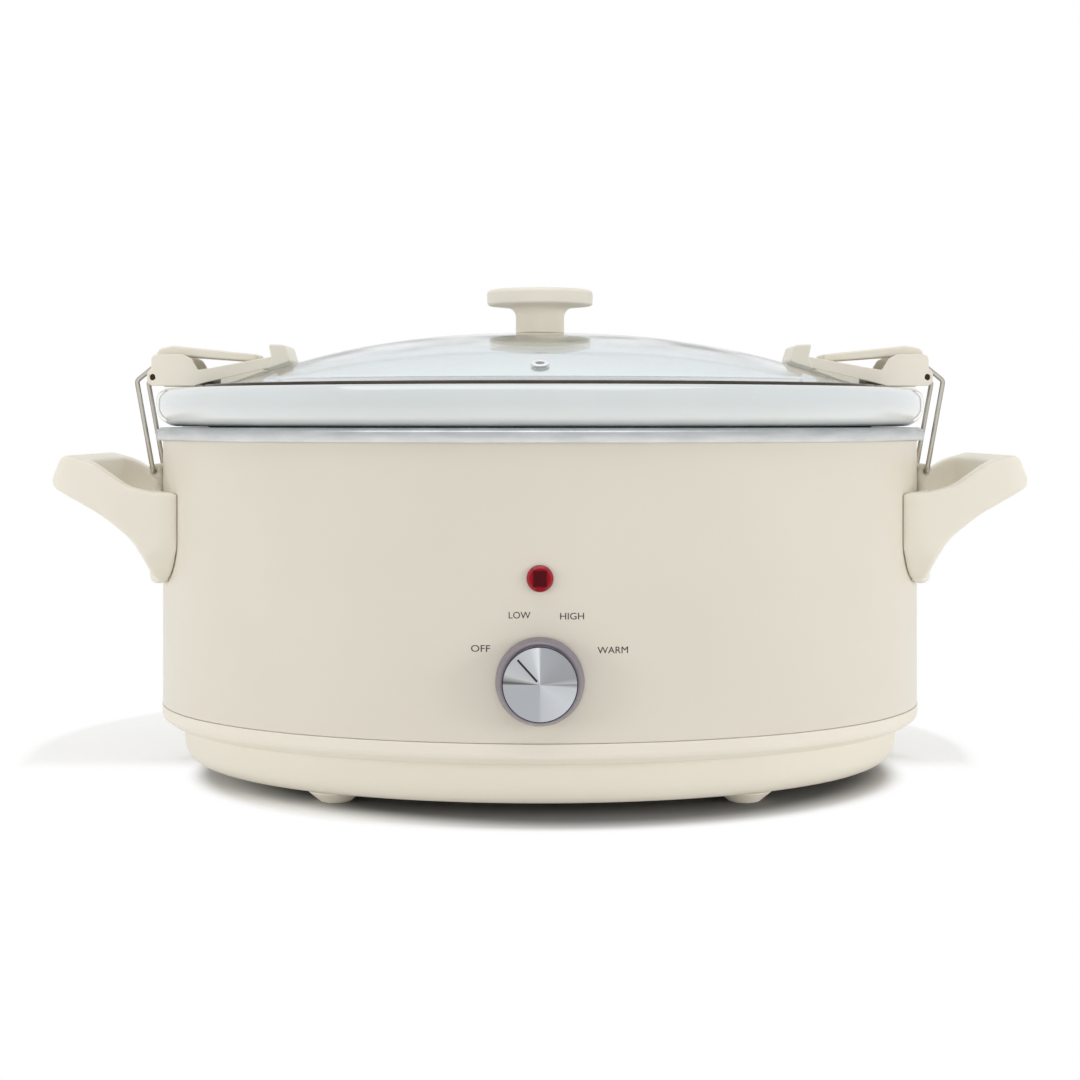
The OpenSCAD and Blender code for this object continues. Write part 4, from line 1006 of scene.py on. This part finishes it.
arm_low, arm_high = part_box("latch_arm_right")
pad_low, pad_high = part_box("latch_pad_right")
ARM_W = arm_high.y
CHEEK_IN = ARM_W - 2.4 * MM
PIN_R = 1.5 * MM
REACH = (pin_at.x - arm_low.x) / MM
HEEL_X = -21.2
HEEL_Z = (lid_rim_high.z - pin_at.z) / MM + 0.3
SLOPE = 0.236
BLOCK = 10
STEP = 0.35 * MM                         # how far the block stands proud of the cheeks
tip_z = HEEL_Z + SLOPE * (REACH + HEEL_X)


def under_z(x):
    """Height of the arm's underside over the pin, at this distance from it."""
    return HEEL_Z + SLOPE * (HEEL_X - x)


cheek_outline = [
    (2.7, -2.2, 1.6),
    (2.7, 2, 1.6),
    (0.7, 4.2, 1),
    (0.7, 10.6, 2.6),
    (-13.6, 10.7, 3),
    (-17.8, 8.7, 3),
    (-20.9, 3.3, 1),
    (BLOCK - 4 - REACH, tip_z + 3.3, 0),
    (BLOCK - 4 - REACH, under_z(BLOCK - 4 - REACH) + 0.3, 0),
    (BLOCK + 1.4 - REACH, under_z(BLOCK + 1.4 - REACH), 0),
    (HEEL_X, HEEL_Z, 0.4),
    (HEEL_X + 2.2, -4, 0.6),
    (0.7, -4, 2),
]
floor_outline = [
    (HEEL_X + 3, HEEL_Z + 0.2, 0),
    (HEEL_X, HEEL_Z + 2.6, 0.4),
    (BLOCK - 2 - REACH, under_z(BLOCK - 2 - REACH) + 2.6, 0),
    (BLOCK - 2 - REACH, under_z(BLOCK - 2 - REACH), 0),
    (HEEL_X, HEEL_Z, 0),
]
block_outline = [
    (BLOCK + 0.8 - REACH, under_z(BLOCK + 0.8 - REACH) - 0.4, 0),
    (BLOCK - 1.2 - REACH, tip_z + 2.8, 0),
    (BLOCK - REACH, tip_z + 8.6, 0.8),
    (2.4 - REACH, tip_z + 8.3, 2),
    (-REACH, tip_z + 0.6, 1.2),
]
arm = joined(
    plate(cheek_outline, -ARM_W + STEP, -CHEEK_IN, 0.45 * MM, pin_at, hole=PIN_R),
    plate(cheek_outline, CHEEK_IN, ARM_W - STEP, 0.45 * MM, pin_at, hole=PIN_R),
    plate(floor_outline, -CHEEK_IN - 0.3 * MM, CHEEK_IN + 0.3 * MM, 0.1 * MM, pin_at),
    plate(block_outline, -ARM_W, ARM_W, 0.7 * MM, pin_at),
)
settle_pair("latch_channel", arm, moulded, "arm", "latch_plastic", "latch_arm")

soft_rubber = Finish("cream rubber", tint(232, 226, 211), 0.7)
matt = soft_rubber.noise(2 * MM, detail=3)
soft_rubber.surface(base_color=soft_rubber.mix(matt, tint(226, 220, 204), tint(238, 232, 218)),
                    roughness=0.62 + 0.16 * matt)
PAD_W = ARM_W - STEP
PAD_GAP = 0.12 * MM
pad_in = (pad_low.x - pin_at.x) / MM
pad_out = (pad_high.x - pin_at.x) / MM
PAD_STEPS = 14
pad_outline = [(x, under_z(x), 0) for x in (pad_out, pad_in)]
for i in range(PAD_STEPS + 1):
    x = pad_in + (pad_out - pad_in) * i / PAD_STEPS
    pad_outline.append((x, (dome(pin_at.x + x * MM) + PAD_GAP - pin_at.z) / MM, 0))
pad = plate(pad_outline, -PAD_W, PAD_W, 0.25 * MM, pin_at)
settle_pair("latch_pad", pad, soft_rubber, "arm", "pad_rubber", "latch_pad")

# The pin's colour is painted dark: painted shade for the bores its ends sit in.
pin_painted_shade = Finish("pin steel, painted bore shade", tint(58, 47, 38), 0.4, metallic=1.0)
shade_mottle = pin_painted_shade.noise(0.8 * MM, detail=3)
pin_painted_shade.surface(base_color=pin_painted_shade.mix(shade_mottle, tint(46, 37, 30), tint(74, 62, 52)),
                  roughness=0.32 + 0.2 * shade_mottle)
pin = turned([
    (0, -pin_high.y, 0),
    (PIN_R, -pin_high.y, 0.3 * MM),
    (PIN_R, pin_high.y, 0.3 * MM),
    (0, pin_high.y, 0),
], steps=32)
bmesh.ops.rotate(pin, matrix=Matrix.Rotation(math.pi / 2, 3, "X"), verts=pin.verts)
bmesh.ops.translate(pin, vec=(pin_at.x, 0, pin_at.z), verts=pin.verts)
settle_pair("hinge_pin", pin, pin_painted_shade, "arm", "pin_steel", "latch_pin")

# ---- Pieces inside ----
# The heating band and its springs, the thermal fuse, the switch, the lamp holder and the leads are
# closed in by the housing. They keep their own solids, each with the finish of what it is made of.
# The screws that hold the handles from inside are among them.


def plain_finish(name, first, second, roughness, size, metallic=0.0):
    """A finish with cloudy variation between two tones."""
    finish = Finish(name, first, roughness, metallic=metallic)
    clouds = finish.noise(size, detail=3)
    return finish.surface(base_color=finish.mix(clouds, first, second),
                          roughness=roughness - 0.06 + 0.12 * clouds)


INSIDE = {
    plain_finish("mica faced steel", tint(150, 142, 122), tint(186, 176, 150), 0.5, 6 * MM, 0.6):
        ("heater_band",),
    zinc: ("band_springs", "fuse_clip", "base_washer", "base_nut", "switch_nut", "lamp_clip",
           "handle_screws"),
    plain_finish("fuse ceramic", tint(212, 200, 168), tint(228, 218, 190), 0.6, 3 * MM):
        ("thermal_fuse",),
    plain_finish("woven sleeve", tint(206, 202, 190), tint(226, 222, 210), 0.8, 0.8 * MM):
        ("wiring",),
    plain_finish("black moulding", tint(38, 38, 40), tint(52, 52, 54), 0.5, 2 * MM):
        ("rotary_switch",),
    plain_finish("turned aluminium", tint(190, 190, 192), tint(214, 214, 216), 0.35, 1 * MM, 1.0):
        ("switch_shaft",),
    plain_finish("lamp holder", tint(218, 216, 208), tint(232, 230, 222), 0.5, 2 * MM):
        ("lamp_body",),
}
for finish, nodes in INSIDE.items():
    for node in nodes:
        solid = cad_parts[node]
        solid.data.materials.clear()
        solid.data.materials.append(finish.material)

# ---- Floor, light and camera ----
# A plain white floor that runs out of view, a large soft light overhead, two at the sides and one
# behind, and a level camera a little under a metre in front. Away from the cooker the floor shows as
# plain white, painted over the outer edge of its shadow, and a painted shadow darkens it under the base.


def seen_by(tree):
    """1 for a ray that shows the studio: to the camera, in a reflection or through glass."""
    rays = tree.nodes.new("ShaderNodeLightPath")
    total = rays.outputs["Is Camera Ray"]
    for kind in ("Is Glossy Ray", "Is Transmission Ray"):
        either = tree.nodes.new("ShaderNodeMath")
        either.operation = "MAXIMUM"
        tree.links.new(total, either.inputs[0])
        tree.links.new(rays.outputs[kind], either.inputs[1])
        total = either.outputs[0]
    return total


# Centre and half lengths of ovals on the floor, in metres
PAINTED_SHADOW_OVAL = (0.012, -0.002), (0.14, 0.139)
FOOT_PRINT = (0.003, -0.01), (0.164, 0.145)
WHOLE_SHADOW = (-0.02, 0.05), (0.235, 0.215)
# Painted shadow: the floor's colour under the base, as the camera sees it.
PAINTED_SHADOW_TONE = (0.21, 0.21, 0.21, 1)     # floor under the base, where no light reaches
WHITE = (1, 1, 1, 1)
BOUNCE_TONE = (0.92, 0.92, 0.92, 1)      # floor as it lights the cooker from below

studio_floor = Finish("studio floor", tint(255, 255, 255), 0.9, specular_ior_level=0.0)


def rise(centre, radii, start, end):
    """0 to 1 over the floor, between two sizes of an oval round this centre."""
    location = (-centre[0] / radii[0], -centre[1] / radii[1], 0)
    scale = (1 / radii[0], 1 / radii[1], 0)
    place = studio_floor.node("ShaderNodeMapping", {"Vector": studio_floor.place, "Location": location,
                                                    "Scale": scale})
    away = studio_floor.node("ShaderNodeVectorMath", {0: place}, output="Value", operation="LENGTH")
    return studio_floor.ramp(away, start, end)


looked_at = studio_floor.node("ShaderNodeLightPath", output="Is Camera Ray")
# A painted shadow darkens the floor for the camera inside the painted shadow's oval.
under = studio_floor.mix(rise(*PAINTED_SHADOW_OVAL, 0.92, 1.14), PAINTED_SHADOW_TONE, WHITE)
studio_floor.surface(base_color=studio_floor.mix(looked_at, BOUNCE_TONE, under))
plain_white = studio_floor.node("ShaderNodeEmission")
in_front = studio_floor.ramp(studio_floor.along("Y"), 0.04, -0.02)
# Painted light: beyond these ovals the floor glows plain white for the camera, over the shadow's outer
# edge.
painted_white_share = studio_floor.largest(
    rise(*WHOLE_SHADOW, 0.92, 1),
    rise(*FOOT_PRINT, 0.94, 1.02) * in_front,
    rise(*FOOT_PRINT, 1, 1.12) * 0.5)
shown = painted_white_share * Signal(studio_floor, seen_by(studio_floor.tree))
studio_floor.feed(studio_floor.tree.nodes["Material Output"].inputs["Surface"], studio_floor.node(
    "ShaderNodeMixShader", {0: shown, 1: Signal(studio_floor, studio_floor.shader.outputs[0]),
                            2: plain_white}))

ground = bmesh.new()
bmesh.ops.create_circle(ground, cap_ends=True, segments=64, radius=6)
floor_mesh = bpy.data.meshes.new("floor")
ground.to_mesh(floor_mesh)
ground.free()
floor_mesh.materials.append(studio_floor.material)
floor = bpy.data.objects.new("floor", floor_mesh)
bpy.context.collection.objects.link(floor)


def soft_light(name, place, aim, width, height, power, mirrored_in=False):
    lamp = bpy.data.lights.new(name, "AREA")
    lamp.shape = "RECTANGLE"
    lamp.size = width
    lamp.size_y = height
    lamp.energy = power
    light = bpy.data.objects.new(name, lamp)
    light.location = place
    light.rotation_mode = "QUATERNION"
    light.rotation_quaternion = (Vector(aim) - Vector(place)).to_track_quat("-Z", "Y")
    light.visible_glossy = mirrored_in
    light.visible_camera = False
    light.visible_transmission = False
    bpy.context.collection.objects.link(light)


soft_light("top", (-0.1, -0.35, 1.5), (0, 0, 0.1), 1.6, 1.2, 9, mirrored_in=True)
soft_light("left", (-1.4, -0.8, 0.3), (0, 0, 0.1), 0.7, 0.6, 7)
soft_light("right", (1.4, -0.8, 0.3), (0, 0, 0.1), 0.7, 0.6, 8)
soft_light("back", (0.2, 1.6, 0.6), (0, 0, 0.1), 1.2, 0.6, 7)

SKY_LIGHT = 0.42                         # strength that lights the cooker
SKY_SEEN = 1.0                           # strength that shows, plain white

world = bpy.data.worlds.new("studio")
bpy.context.scene.world = world
world.use_nodes = True
sky = world.node_tree
background = sky.nodes["Background"]
strength = sky.nodes.new("ShaderNodeMapRange")
sky.links.new(seen_by(sky), strength.inputs["Value"])
strength.inputs["To Min"].default_value = SKY_LIGHT
strength.inputs["To Max"].default_value = SKY_SEEN
sky.links.new(strength.outputs[0], background.inputs["Strength"])
background.inputs["Color"].default_value = WHITE

CAMERA_AWAY = 0.928
CAMERA_UP = 0.1608
lens = bpy.data.cameras.new("front")
lens.lens = 65.5
lens.sensor_width = 36
lens.shift_y = -0.108
lens.clip_start = 0.01
camera = bpy.data.objects.new("front", lens)
camera.location = (0, -CAMERA_AWAY, CAMERA_UP)
camera.rotation_euler = (math.pi / 2, 0, 0)
bpy.context.collection.objects.link(camera)
bpy.context.scene.camera = camera
bpy.context.scene.view_settings.view_transform = "Standard"
